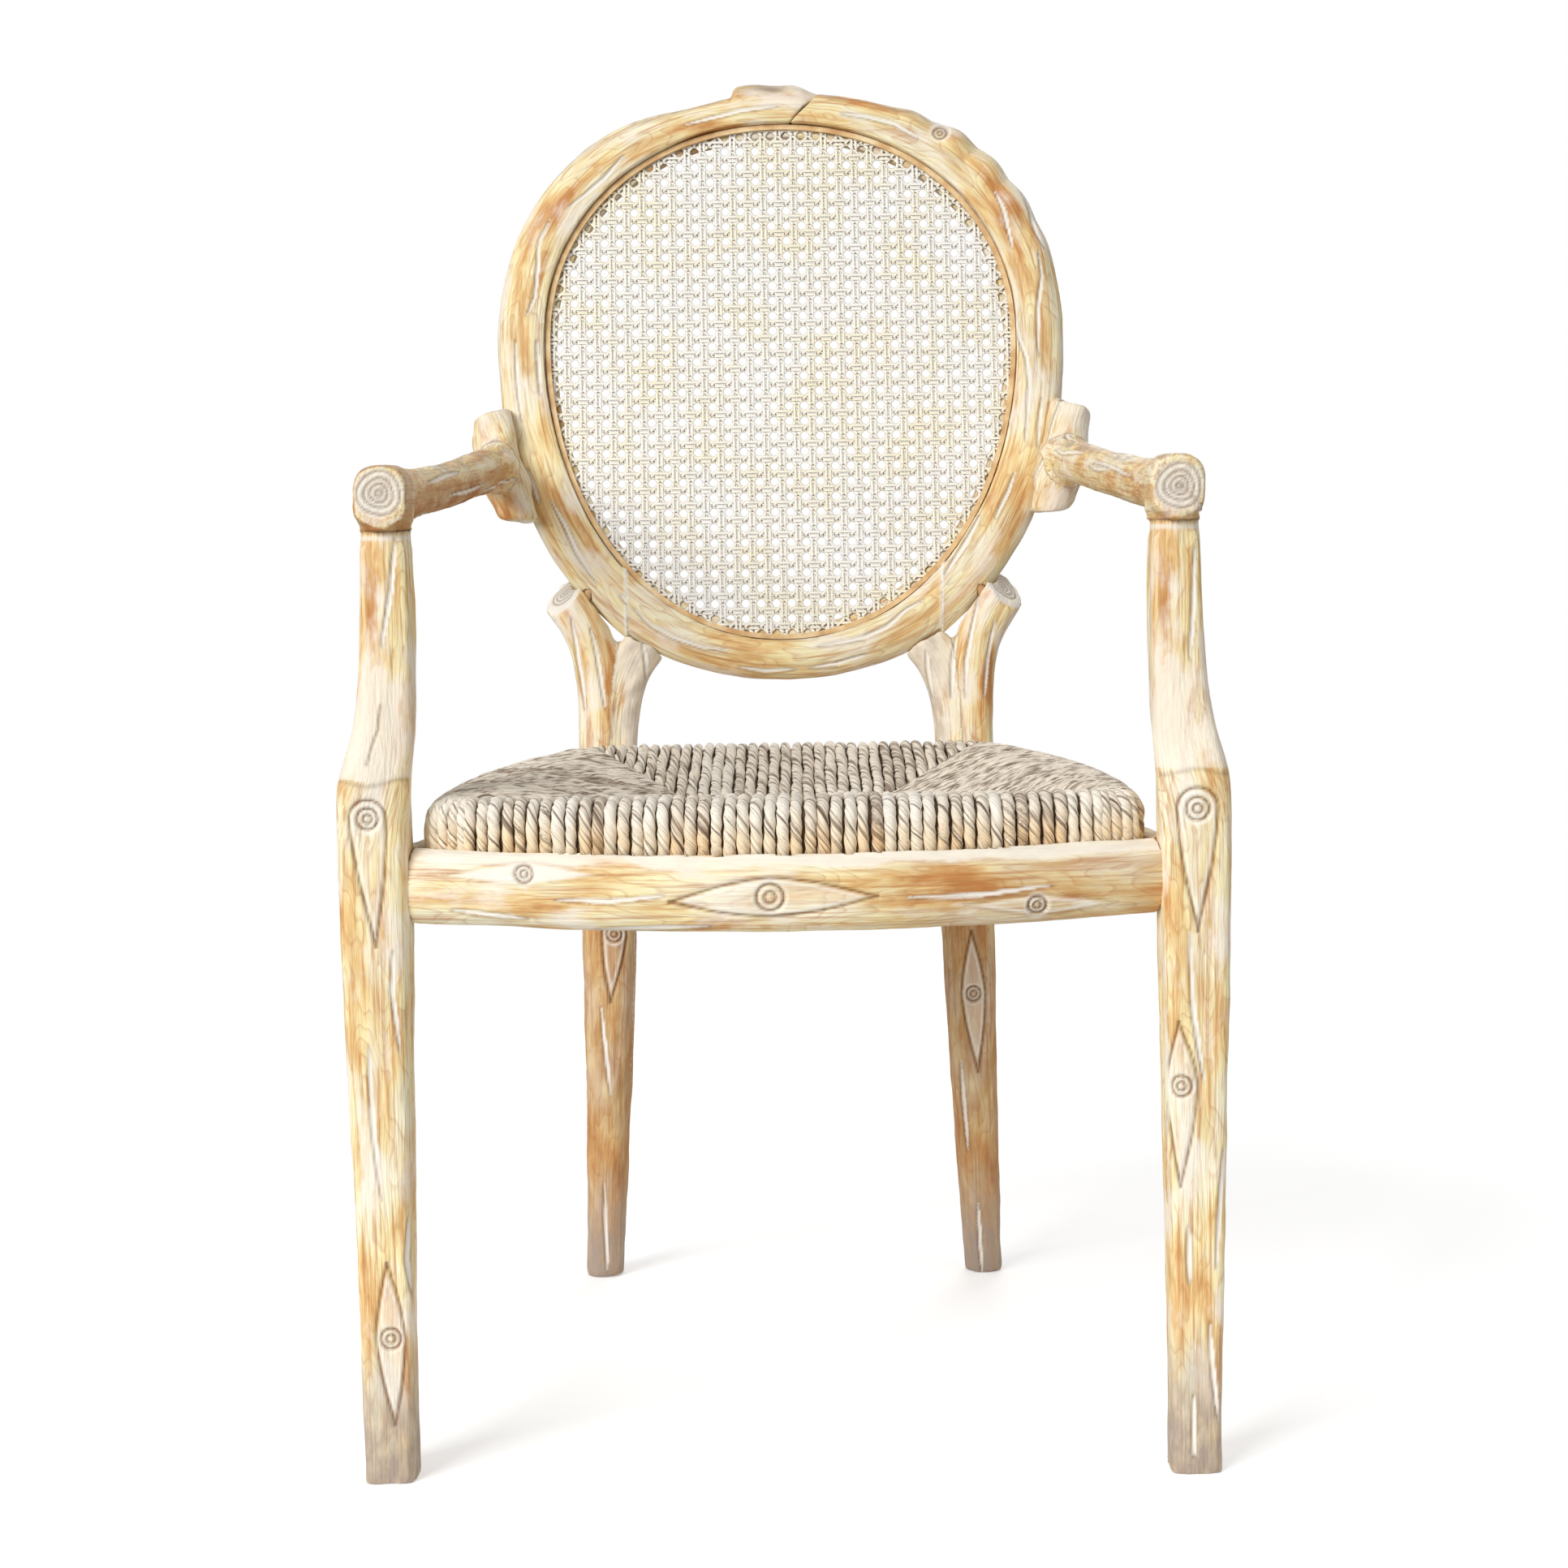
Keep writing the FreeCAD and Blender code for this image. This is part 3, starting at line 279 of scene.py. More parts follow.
class Branch:
    """Distances along and around the nearest of a piece's axes, for each of its points."""

    def __init__(self, points, axes, zero):
        count = len(points)
        self.radius = np.full(count, 1e9)
        self.along = np.zeros(count)
        self.a = np.zeros(count)
        self.b = np.zeros(count)
        self.which = np.zeros(count, dtype=int)
        self.lengths = []
        zero = np.asarray(zero, dtype=float)
        for number, axis in enumerate(axes):
            path = resampled(axis, AXIS_STEP)
            tangent = unit(np.gradient(path, axis=0))
            first = unit(zero - tangent * (tangent @ zero)[:, None])
            second = np.cross(tangent, first)
            self.lengths.append(AXIS_STEP * (len(path) - 1))
            nearest = np.empty(count, dtype=int)
            for start in range(0, count, BATCH):
                gap = points[start:start + BATCH, None, :] - path[None, :, :]
                nearest[start:start + BATCH] = np.argmin((gap ** 2).sum(axis=2), axis=1)
            offset = points - path[nearest]
            ahead = (offset * tangent[nearest]).sum(axis=1)
            a = (offset * first[nearest]).sum(axis=1)
            b = (offset * second[nearest]).sum(axis=1)
            radius = np.hypot(a, b)
            reach = np.hypot(radius, np.where(np.abs(ahead) > AXIS_STEP, ahead, 0))
            closer = reach < self.radius
            self.radius[closer] = reach[closer]
            self.a[closer] = a[closer]
            self.b[closer] = b[closer]
            self.along[closer] = (nearest * AXIS_STEP + ahead)[closer] + number * AXIS_JUMP
            self.which[closer] = number
        self.turn = np.arctan2(self.b, self.a)
        self.around = np.hypot(self.a, self.b)

    def grain(self):
        """Coordinates that run with the grain."""
        return np.column_stack((self.a, self.b, self.along))


class Carving:
    """What is cut into a piece's surface and rubbed into the cuts."""

    def __init__(self, points, normals):
        self.points = points
        self.normals = normals
        for name in ("cut", "swell", "lime", "dark", "wash", "stain"):
            setattr(self, name, np.zeros(len(points)))
        # Painted grey shade on faces that point up.
        self.grey = smooth(0.45, 0.95, normals[:, 2])
        self.front = smooth(0.05, 0.4, -normals[:, 1])

    def mark(self, **amounts):
        """Raises cuts, swellings or colours to these amounts, wherever they are larger."""
        for name, amount in amounts.items():
            setattr(self, name, np.maximum(getattr(self, name), amount))

    def groove(self, offset, half_width, taper, depth, lime=0.9, mask=1.0):
        """A chisel cut: offset is the distance from its middle line, taper its share of the full width."""
        width = np.maximum(half_width * taper, 0.05)
        strength = np.clip(taper * 3, 0, 1) * mask
        profile = np.clip(1 - np.abs(offset) / width, 0, 1) * strength
        # Painted shade: a dark line along each edge of the cut, heavier where the offset is negative, which
        # is the left side of a stroke on the front.
        edge = bell(np.abs(offset) - 1.15 * width, 0.9) * strength
        shade = np.where(offset < 0, 0.5, 0.16)
        self.mark(cut=depth * profile ** 0.8, lime=lime * smooth(0.02, 0.35, profile), dark=shade * edge)

    def stroke(self, line, half_width=2.0, depth=1.3, lime=0.95):
        """A groove on the front, along a line of (x, z) places."""
        line = np.asarray(line, dtype=float)
        x, z = self.points[:, 0], self.points[:, 2]
        lengths = run_lengths(line)
        best = np.full(len(x), 1e9)
        offset = np.full(len(x), 1e9)
        share = np.zeros(len(x))
        for number in range(len(line) - 1):
            start, step = line[number], line[number + 1] - line[number]
            size = np.linalg.norm(step)
            step = step / size
            run = np.clip((x - start[0]) * step[0] + (z - start[1]) * step[1], 0, size)
            gap_x, gap_z = x - start[0] - run * step[0], z - start[1] - run * step[1]
            gap = np.hypot(gap_x, gap_z)
            closer = gap < best
            best[closer] = gap[closer]
            offset[closer] = (gap * np.sign(gap_x + 0.3 * gap_z))[closer]
            share[closer] = ((lengths[number] + run) / lengths[-1])[closer]
        taper = np.sin(math.pi * np.clip(share, 0.001, 0.999)) ** 0.5
        self.groove(offset, half_width, taper, depth, lime, self.front)

    def knot(self, middle, ends, half_width, ring, pale=0.2, line=1.0):
        """A carved eye on the front: a ringed knot in a pointed or round-ended outline of some strength."""
        x, z = self.points[:, 0] - middle[0], self.points[:, 2] - middle[1]
        for end in ends:
            reach = np.array(end, dtype=float) - np.array(middle, dtype=float)
            length = np.linalg.norm(reach)
            reach = reach / length
            run = x * reach[0] + z * reach[1]
            side = np.abs(x * reach[1] - z * reach[0])
            share = np.clip(run / length, 0, 1)
            if length < 2.2 * half_width:
                gap = np.hypot(run / length, side / half_width) * half_width - half_width
            else:
                gap = side - half_width * (1 - share) ** 1.15 * (1 + 0.9 * share)
            here = ((run > -0.5) & (run < length + 2)) * self.front
            # Lime fills the eye as far as pale says; the band just inside the outline is a painted highlight,
            # and the dark line along the outline's cut is painted shade.
            inside = np.maximum(pale * smooth(0.0, -2.5, gap), 0.75 * bell(gap + 2.7, 1.2))
            self.mark(cut=1.9 * line * bell(gap, 1.2) * here, lime=inside * here,
                      dark=0.8 * line * bell(gap - 0.3, 0.9) * here)
        rho = np.hypot(x, z)
        # The dark lines in the ring's cuts are painted shade, and the pale bands beside the ring are painted
        # highlights.
        for radius, depth in ((ring, 2.4), (ring * 0.42, 1.8)):
            gap = rho - radius
            self.mark(cut=depth * bell(gap, 1.15) * self.front, dark=0.8 * bell(gap, 0.9) * self.front)
        for radius in (ring * 0.72, ring + 2.4):
            self.mark(lime=0.7 * bell(rho - radius, 1.2) * self.front)

    def rings(self, middle, facing, radii, reach, depth=0.9, pale=0.5):
        """Growth rings on a sawn end."""
        facing = unit(np.asarray(facing, dtype=float))
        offset = self.points - np.asarray(middle, dtype=float)
        ahead = offset @ facing
        rho = np.linalg.norm(offset - ahead[:, None] * facing, axis=1)
        wobble = rho * (1 + 0.05 * np.sin(3 * np.arctan2(offset[:, 2], offset[:, 0]) + 1))
        mask = smooth(0.72, 0.9, self.normals @ facing) * (np.abs(ahead) < 9)
        mask = mask * smooth(reach + 1, reach - 2, rho)
        for radius in radii:
            gap = wobble - radius
            self.mark(cut=depth * bell(gap, 1.25) * mask, dark=0.65 * bell(gap, 1.1) * mask)
        self.lime = np.maximum(self.lime * (1 - mask), pale * mask)

    def lump(self, x, z, radius, height):
        """A swelling on the front outline."""
        gap = np.hypot(self.points[:, 0] - x, self.points[:, 2] - z)
        self.mark(swell=height * bell(gap, radius))

    def seeded(self, branch, seed, count, clear_front=False):
        """Long grooves all round, where the photograph shows none or can't see."""
        random = np.random.default_rng(seed)
        for number, length in enumerate(branch.lengths):
            for _ in range(max(int(count * length / 400.0), 2)):
                size = random.uniform(60, 190)
                start = random.uniform(-10, max(length - size * 0.6, 1)) + number * AXIS_JUMP
                angle = random.uniform(-math.pi, math.pi)
                sway, phase = random.uniform(0.05, 0.22), random.uniform(0, 6.3)
                half_width, depth = random.uniform(1.5, 2.4), random.uniform(0.9, 1.8)
                share = (branch.along - start) / size
                inside = (share > 0) & (share < 1) & (branch.which == number)
                taper = np.where(inside, np.sin(math.pi * np.clip(share, 0.001, 0.999)) ** 0.6, 0)
                middle = angle + sway * np.sin(4.0 * share + phase)
                gap = (branch.turn - middle + math.pi) % (2 * math.pi) - math.pi
                mask = inside * (1.0 - self.front if clear_front else 1.0)
                self.groove(gap * branch.around, half_width, taper, depth, mask=mask)


def shaped_copy(name, voxel):
    """A node's solid as an even, fine mesh that can be carved."""
    copy = bmesh.new()
    copy.from_mesh(nodes[name].data)
    bmesh.ops.remove_doubles(copy, verts=copy.verts, dist=2e-5)
    raw = bpy.data.meshes.new(name + "_raw")
    copy.to_mesh(raw)
    copy.free()
    return remeshed(raw, voxel)


def remeshed(raw, voxel, rounded=0):
    """An even mesh in place of another one, which may be rounded first."""
    obj = bpy.data.objects.new(raw.name, raw)
    bpy.context.collection.objects.link(obj)
    if rounded:
        obj.modifiers.new("rounded", "SUBSURF").levels = rounded
    remesh = obj.modifiers.new("even", "REMESH")
    remesh.mode = "VOXEL"
    remesh.voxel_size = voxel
    remesh.adaptivity = 0.0
    graph = bpy.context.evaluated_depsgraph_get()
    mesh = bpy.data.meshes.new_from_object(obj.evaluated_get(graph))
    bpy.data.objects.remove(obj)
    bpy.data.meshes.remove(raw)
    return mesh


def mesh_points(mesh):
    """A mesh's points in the millimetres used here."""
    flat = np.empty(len(mesh.vertices) * 3)
    mesh.vertices.foreach_get("co", flat)
    return to_mm(flat.reshape(-1, 3))


def mesh_normals(mesh):
    """A mesh's normals at its points."""
    flat = np.empty(len(mesh.vertices) * 3)
    mesh.vertex_normals.foreach_get("vector", flat)
    return flat.reshape(-1, 3)


class Smoother:
    """Averages over a mesh's neighbouring points."""

    def __init__(self, mesh):
        edges = np.empty(len(mesh.edges) * 2, dtype=int)
        mesh.edges.foreach_get("vertices", edges)
        self.mesh = mesh
        self.first, self.second = edges.reshape(-1, 2).T
        self.count = len(mesh.vertices)
        self.degree = np.bincount(edges, minlength=self.count)
        self.points = mesh_points(mesh)

    def pull(self):
        """From each point to the mean of its neighbours."""
        total = np.column_stack([
            np.bincount(self.first, self.points[self.second, axis], self.count)
            + np.bincount(self.second, self.points[self.first, axis], self.count) for axis in range(3)])
        return total / self.degree[:, None] - self.points

    def write(self):
        """Puts the points back into the mesh."""
        self.mesh.vertices.foreach_set("co", to_metres(self.points).ravel())
        self.mesh.update()

    def relax(self, rounds):
        """Evens out the small steps of a remeshed surface without shrinking it."""
        for _ in range(rounds):
            self.points = self.points + 0.5 * self.pull()
            self.points = self.points - 0.52 * self.pull()
        self.write()

    def fill(self, rounds):
        """Grows wood into the creases where branches meet."""
        for number in range(rounds):
            if number % 12 == 0:
                self.write()
                normals = mesh_normals(self.mesh)
            pull = self.pull()
            hollow = (pull * normals).sum(axis=1) > 0
            self.points = self.points + 0.6 * pull * hollow[:, None]
        self.write()

    def wear(self, rounds, where):
        """Rounds off what stands out, as far as where says."""
        for _ in range(rounds):
            self.points = self.points + 0.5 * self.pull() * where[:, None]
        self.write()


def store(mesh, name, values):
    """Keeps a number or a vector for each point of a mesh, for its material."""
    kind, key = ("FLOAT_VECTOR", "vector") if values.ndim == 2 else ("FLOAT", "value")
    attribute = mesh.attributes.new(name, kind, "POINT")
    attribute.data.foreach_set(key, np.ascontiguousarray(values, dtype=np.float32).ravel())


def finished(name, mesh, material, body, slot, *replaced):
    """Makes a piece of a mesh: smooth shaded, dressed, and riding on its body."""
    for face in mesh.polygons:
        face.use_smooth = True
    mesh.materials.clear()
    mesh.materials.append(material)
    obj = bpy.data.objects.new(name, mesh)
    bpy.context.collection.objects.link(obj)
    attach(obj, body)
    if replaced:
        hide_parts(*replaced)
    return obj


# Materials
class Shader:
    """The node tree of a material or a world, with short calls for the few nodes they use."""

    def __init__(self, name, world=False):
        self.material = (bpy.data.worlds if world else bpy.data.materials).new(name)
        self.material.use_nodes = True
        self.tree = self.material.node_tree
        self.surface = self.tree.nodes["Background" if world else "Principled BSDF"]

    def feed(self, socket, value):
        """Links another node's socket, or sets a plain value."""
        if isinstance(value, bpy.types.NodeSocket):
            self.tree.links.new(value, socket)
        else:
            socket.default_value = value

    def fill(self, node, inputs):
        """Feeds a node's inputs, given by name."""
        for key, value in inputs.items():
            self.feed(node.inputs[key.replace("_", " ")], value)

    def node(self, kind, **inputs):
        """A new node."""
        made = self.tree.nodes.new(kind)
        self.fill(made, inputs)
        return made

    def coat(self, **inputs):
        """Sets the surface itself."""
        self.fill(self.surface, inputs)

    def place(self):
        """Where a point is on the object, in metres."""
        return self.node("ShaderNodeTexCoord").outputs["Object"]

    def attribute(self, name, output="Fac"):
        """What the mesh keeps for each point."""
        made = self.tree.nodes.new("ShaderNodeAttribute")
        made.attribute_name = name
        return made.outputs[output]

    def scaled(self, vector, scale, shift=(0.0, 0.0, 0.0)):
        """A vector stretched and shifted."""
        made = self.tree.nodes.new("ShaderNodeVectorMath")
        made.operation = "MULTIPLY_ADD"
        for socket, value in zip(made.inputs, (vector, scale, shift)):
            self.feed(socket, value)
        return made.outputs[0]

    def noise(self, vector, scale, detail=3.0, shift=(0.0, 0.0, 0.0)):
        """Cloudy noise on a stretched vector."""
        place = self.scaled(vector, scale, shift)
        made = self.node("ShaderNodeTexNoise", Scale=1.0, Detail=detail, Roughness=0.55, Vector=place)
        return made.outputs["Fac"]

    def ramp(self, value, *stops):
        """Colours or shades at places between 0 and 1."""
        made = self.tree.nodes.new("ShaderNodeValToRGB")
        self.feed(made.inputs[0], value)
        elements = made.color_ramp.elements
        while len(elements) < len(stops):
            elements.new(0.5)
        for element, (place, colour) in zip(elements, stops):
            element.position = place
            element.color = colour if isinstance(colour, tuple) else (colour, colour, colour, 1.0)
        return made.outputs["Color"]

    def patchy(self, name, noise, *stops):
        """An attribute of the mesh, broken up by a noise."""
        return self.calc("MULTIPLY", self.attribute(name), self.ramp(noise, *stops))

    def mix(self, amount, first, second, blend="MIX"):
        """The second colour over the first."""
        made = self.tree.nodes.new("ShaderNodeMix")
        made.data_type = "RGBA"
        made.blend_type = blend
        for key, value in zip(("Factor_Float", "A_Color", "B_Color"), (amount, first, second)):
            self.feed(next(s for s in made.inputs if s.identifier == key), value)
        return next(s for s in made.outputs if s.identifier == "Result_Color")

    def calc(self, operation, first, second=0.0):
        """One operation on one or two numbers."""
        made = self.tree.nodes.new("ShaderNodeMath")
        made.operation = operation
        self.feed(made.inputs[0], first)
        self.feed(made.inputs[1], second)
        return made.outputs[0]

    def bump(self, height, strength, distance):
        """Fine relief, with its distance in metres."""
        made = self.node("ShaderNodeBump", Strength=strength, Distance=distance, Height=height)
        self.coat(Normal=made.outputs["Normal"])


def limed_wood():
    """Honey wood with streaks, a worn limewash, white-filled grooves, dark rings and joint lines, and grey
    feet, with painted brown shade in the grooves and under parts and painted grey shade on faces that point
    up.
    """
    shader = Shader("limed_wood_carved")
    grain = shader.attribute("grain", "Vector")
    honey = linear(188, 116, 56)
    drift = shader.noise(grain, (0.05, 0.05, 0.012), 4.0)
    colour = shader.ramp(drift, (0.33, linear(208, 148, 88)), (0.42, linear(240, 204, 142)),
                         (0.5, linear(252, 236, 182)), (0.62, linear(254, 248, 216)))
    figure = shader.noise(grain, (0.028, 0.028, 0.0075), 2.0, (5.0, 1.0, 8.0))
    figure = shader.calc("FRACT", shader.calc("MULTIPLY", figure, 17.0))
    figure = shader.ramp(figure, (0.0, 0.0), (0.7, 0.08), (0.9, 0.36), (1.0, 0.0))
    colour = shader.mix(figure, colour, honey)
    streak = shader.noise(grain, (0.4, 0.4, 0.014), 3.0, (7.0, 3.0, 1.0))
    colour = shader.mix(shader.ramp(streak, (0.36, 0.6), (0.5, 0.0)), colour, linear(194, 122, 60))
    # Painted brown shade under parts, with the front rail's real brown stain.
    blot = shader.noise(grain, (0.06, 0.06, 0.025), 4.0, (2.0, 6.0, 4.0))
    colour = shader.mix(shader.patchy("stain", blot, (0.34, 1.0), (0.66, 0.45)), colour, linear(174, 110, 54))
    cells = shader.node("ShaderNodeTexVoronoi", Scale=1.0, Randomness=0.9)
    cells.feature = "SMOOTH_F1"
    shader.feed(cells.inputs["Vector"], shader.scaled(grain, (0.1, 0.1, 0.034)))
    scoop = cells.outputs["Distance"]
    colour = shader.mix(shader.ramp(scoop, (0.45, 0.0), (0.8, 0.36)), colour, honey)
    mottle = shader.noise(grain, (0.045, 0.045, 0.02), 6.0, (3.0, 9.0, 5.0))
    worn = shader.calc("ADD", mottle, shader.calc("MULTIPLY", shader.attribute("wash"), 0.2))
    colour = shader.mix(shader.ramp(worn, (0.5, 0.0), (0.64, 0.8)), colour, linear(252, 242, 226))
    # Painted grey shade on faces that point up and inside the back legs' forks.
    grey_shade_noise = shader.noise(grain, (0.09, 0.09, 0.05), 5.0)
    colour = shader.mix(shader.patchy("painted_grey_shade", grey_shade_noise, (0.4, 0.05), (0.62, 0.75)), colour, linear(158, 142, 124))
    scuff = shader.noise(grain, (0.12, 0.12, 0.05), 3.0)
    colour = shader.mix(shader.patchy("foot", scuff, (0.3, 0.55), (0.6, 1.0)), colour, linear(172, 154, 139))
    colour = shader.mix(shader.attribute("lime"), colour, linear(254, 249, 238))
    # Dark growth rings and joints, and painted shade in the carved grooves and knot outlines.
    colour = shader.mix(shader.attribute("dark"), colour, linear(112, 70, 36))
    shader.coat(Base_Color=colour, Roughness=shader.ramp(drift, (0.3, 0.5), (0.7, 0.72)),
                Specular_IOR_Level=0.3)
    fine = shader.noise(grain, (0.5, 0.5, 0.03), 4.0)
    shader.bump(shader.calc("SUBTRACT", fine, scoop), 0.7, 0.0016)
    return shader.material


def inner_wood():
    """Plain sawn beech for the blocks, dowels and slats."""
    shader = Shader("inner_wood_sawn")
    place = shader.place()
    drift = shader.noise(place, (60.0, 20.0, 60.0), 4.0)
    colour = shader.ramp(drift, (0.3, linear(196, 152, 104)), (0.55, linear(218, 180, 133)),
                         (0.75, linear(229, 198, 156)))
    streak = shader.ramp(shader.noise(place, (420.0, 40.0, 420.0), 2.0), (0.4, 0.8), (0.6, 1.0))
    shader.coat(Base_Color=shader.mix(0.6, colour, streak, "MULTIPLY"),
                Roughness=shader.ramp(drift, (0.3, 0.6), (0.7, 0.78)))
    shader.bump(streak, 0.2, 0.0004)
    return shader.material


def screw_steel():
    """Zinc-plated steel with a faint cloudiness."""
    shader = Shader("screw_steel_plated")
    cloud = shader.noise(shader.place(), (900.0, 900.0, 900.0), 3.0)
    shader.coat(Base_Color=shader.ramp(cloud, (0.3, linear(150, 148, 142)), (0.7, linear(196, 194, 188))),
                Roughness=shader.ramp(cloud, (0.3, 0.3), (0.7, 0.5)), Metallic=1.0)
    shader.bump(cloud, 0.15, 0.0002)
    return shader.material


def cane_skin():
    """Pale glossy cane: ivory with honey patches, painted shade along the strands' edges, and a small painted
    shadow in the gap between each pair.
    """
    shader = Shader("cane_skin_pale")
    place = shader.place()
    patch = shader.noise(place, (22.0, 22.0, 22.0), 4.0)
    colour = shader.ramp(patch, (0.35, linear(252, 244, 218)), (0.52, linear(252, 248, 236)),
                         (0.7, linear(253, 251, 246)))
    speck = shader.ramp(shader.noise(place, (160.0, 160.0, 160.0), 3.0), (0.36, 0.78), (0.5, 1.0))
    colour = shader.mix(0.4, colour, speck, "MULTIPLY")
    # Painted shade along the sides and underside of each strand.
    colour = shader.mix(shader.patchy("edge", patch, (0.3, 0.95), (0.7, 0.65)), colour, linear(126, 98, 62))
    # Painted shadow in the small gap between the two strands of each pair, between the crossings.
    parts = shader.node("ShaderNodeSeparateXYZ", Vector=place).outputs
    across = shader.calc("DIVIDE", parts["X"], CANE_PITCH / 1000.0)
    up = shader.calc("SUBTRACT", parts["Z"], OVAL_CENTRE_Z / 1000.0)
    up = shader.calc("DIVIDE", up, CANE_PITCH * math.cos(RAKE) / 1000.0)
    across, up = (shader.calc("PINGPONG", value, 0.5) for value in (across, up))
    for first, second in ((across, up), (up, across)):
        line = shader.ramp(first, (0.06, 0.9), (0.11, 0.0))
        spot = shader.ramp(second, (0.3, 0.0), (0.35, 1.0), (0.39, 1.0), (0.43, 0.0))
        colour = shader.mix(shader.calc("MULTIPLY", line, spot), colour, linear(104, 76, 46))
    shader.coat(Base_Color=colour, Roughness=shader.ramp(patch, (0.3, 0.38), (0.7, 0.55)))
    shader.bump(shader.noise(place, (900.0, 900.0, 900.0), 2.0), 0.2, 0.0002)
    return shader.material


def stained_reed():
    """Reed ring, stained like the wood around it."""
    shader = Shader("stained_reed")
    place = shader.place()
    cloud = shader.noise(place, (60.0, 60.0, 60.0), 5.0)
    colour = shader.ramp(cloud, (0.35, linear(206, 160, 104)), (0.55, linear(234, 200, 148)),
                         (0.7, linear(246, 226, 186)))
    shader.coat(Base_Color=colour, Roughness=shader.ramp(cloud, (0.3, 0.5), (0.7, 0.7)))
    shader.bump(shader.noise(place, (500.0, 500.0, 500.0), 3.0), 0.3, 0.0004)
    return shader.material


def rush_leaf():
    """Twisted rush: grey-beige leaf, tan where it turns over the edge, with a paleness by section painted as
    light and shade, painted shade along the twist's creases and a painted highlight beside them.
    """
    shader = Shader("rush_leaf_twisted")
    leaf = shader.attribute("leaf", "Vector")
    # Random tone, scaled by section to paint the light and shade each section gets.
    tone = shader.attribute("tone")
    colour = shader.ramp(tone, (0.0, linear(220, 207, 189)), (0.4, linear(242, 231, 214)),
                         (1.0, linear(253, 247, 236)))
    warm = shader.ramp(tone, (0.0, linear(232, 186, 132)), (0.4, linear(250, 220, 176)),
                       (1.0, linear(254, 240, 214)))
    colour = shader.mix(shader.attribute("warm"), colour, warm)
    fibre = shader.ramp(shader.noise(leaf, (1.4, 1.4, 0.06), 3.0), (0.36, 0.45), (0.5, 1.0))
    colour = shader.mix(0.7, colour, fibre, "MULTIPLY")
    parts = shader.node("ShaderNodeSeparateXYZ", Vector=leaf).outputs
    turn = shader.calc("DIVIDE", shader.calc("ARCTAN2", parts["Y"], parts["X"]), 2 * math.pi)
    turn = shader.calc("FRACT", shader.calc("ADD", turn, 1.0))
    # Painted highlight on the leaf beside the twist's crease.
    painted_fold_light = shader.ramp(turn, (0.3, 0.0), (0.4, 0.45), (0.5, 0.0))
    colour = shader.mix(painted_fold_light, colour, linear(253, 246, 230))
    dash = shader.noise(leaf, (0.36, 0.36, 0.024), 3.0, (4.0, 2.0, 0.0))
    dash = shader.calc("ADD", dash, shader.calc("MULTIPLY", tone, 0.2))
    colour = shader.mix(shader.ramp(dash, (0.47, 0.75), (0.56, 0.0)), colour, linear(112, 88, 66))
    # Painted shade along the twist's creases.
    lines = shader.ramp(turn, (0.28, 0.0), (0.318, 0.4), (0.35, 0.0), (0.44, 0.0), (0.5, 1.0), (0.56, 0.0))
    faded = shader.ramp(shader.noise(leaf, (0.3, 0.3, 0.06), 2.0), (0.35, 0.35), (0.6, 1.0))
    colour = shader.mix(shader.calc("MULTIPLY", lines, faded), colour, linear(84, 58, 38))
    shader.coat(Base_Color=colour, Roughness=shader.ramp(fibre, (0.6, 0.72), (1.0, 0.58)),
                Specular_IOR_Level=0.25)
    shader.bump(shader.noise(leaf, (1.6, 1.6, 0.08), 3.0), 0.3, 0.0006)
    return shader.material


def rush_core():
    """Packed rush behind the strands, painted dark as the shade in the gaps between them."""
    shader = Shader("rush_core_painted_shade")
    fibre = shader.noise(shader.place(), (300.0, 60.0, 300.0), 3.0)
    shader.coat(Base_Color=shader.ramp(fibre, (0.3, linear(66, 50, 36)), (0.7, linear(112, 90, 68))),
                Roughness=shader.ramp(fibre, (0.3, 0.8), (0.7, 0.9)))
    shader.bump(fibre, 0.3, 0.001)
    return shader.material


WOOD = limed_wood()
INNER = inner_wood()
STEEL = screw_steel()
CANE = cane_skin()
REED = stained_reed()
RUSH = rush_leaf()
CORE = rush_core()

# Carved wood: fineness of the meshes in metres, and the ways that pieces face
VOXEL = 0.00145
ROUGH_VOXEL = 0.003
FRONT = (0, -1, 0)
BACK = (0, 1, 0)
UP = (0, 0, 1)

# Turns in degrees where the oval's pieces begin and end, and the joints between them
STILE_TURNS = (-64, 104)
LOWER_TURNS = (-125, -55)
JOINT_X = 130.2

# The arm's block and the joint under it, and the leans and the cut of the lopped ends
BLOCK_MIDDLE = (264.0, 669.0)
SEAM_Z = 647.0
LIMB_LEAN = math.radians(18.0)
STUB_LEAN = math.radians(44.0)
STUB_CUT = 8.5

# Carving stays between these heights, and the feet turn grey between these
BOTTOM_Z = 0.05
TOP_Z = cad_high[2] * 1000.0 - 0.1
FOOT_FADE = (125.0, 15.0)

# By side, left then right: seed, height of the rings on the arm's sawn end, and how much painted brown shade
# the arm gets
SIDE_SEED = {-1: 100, 1: 150}
RING_Z = {-1: 672.0, 1: 669.0}
ARM_PAINTED_SHADE = {-1: 1.0, 1: 0.3}

# Sizes of the soft waves and of the tool marks across, across and along the grain
RIPPLE = np.array((15.0, 15.0, 50.0))
TOOLING = np.array((7.0, 7.0, 15.0))

# Swellings of the right shoulder: x, z, radius and height
LUMPS = ((112, 988, 13, 3.0), (148, 970, 15, 5.0), (175, 945, 14, 4.4), (197, 915, 16, 3.4),
         (215, 880, 18, 2.0))

# The crack in the left post, as a line of (x, z) places
POST_CRACK = ((-266.6, 533.2), (-268.0, 515.0), (-276.2, 491.5))

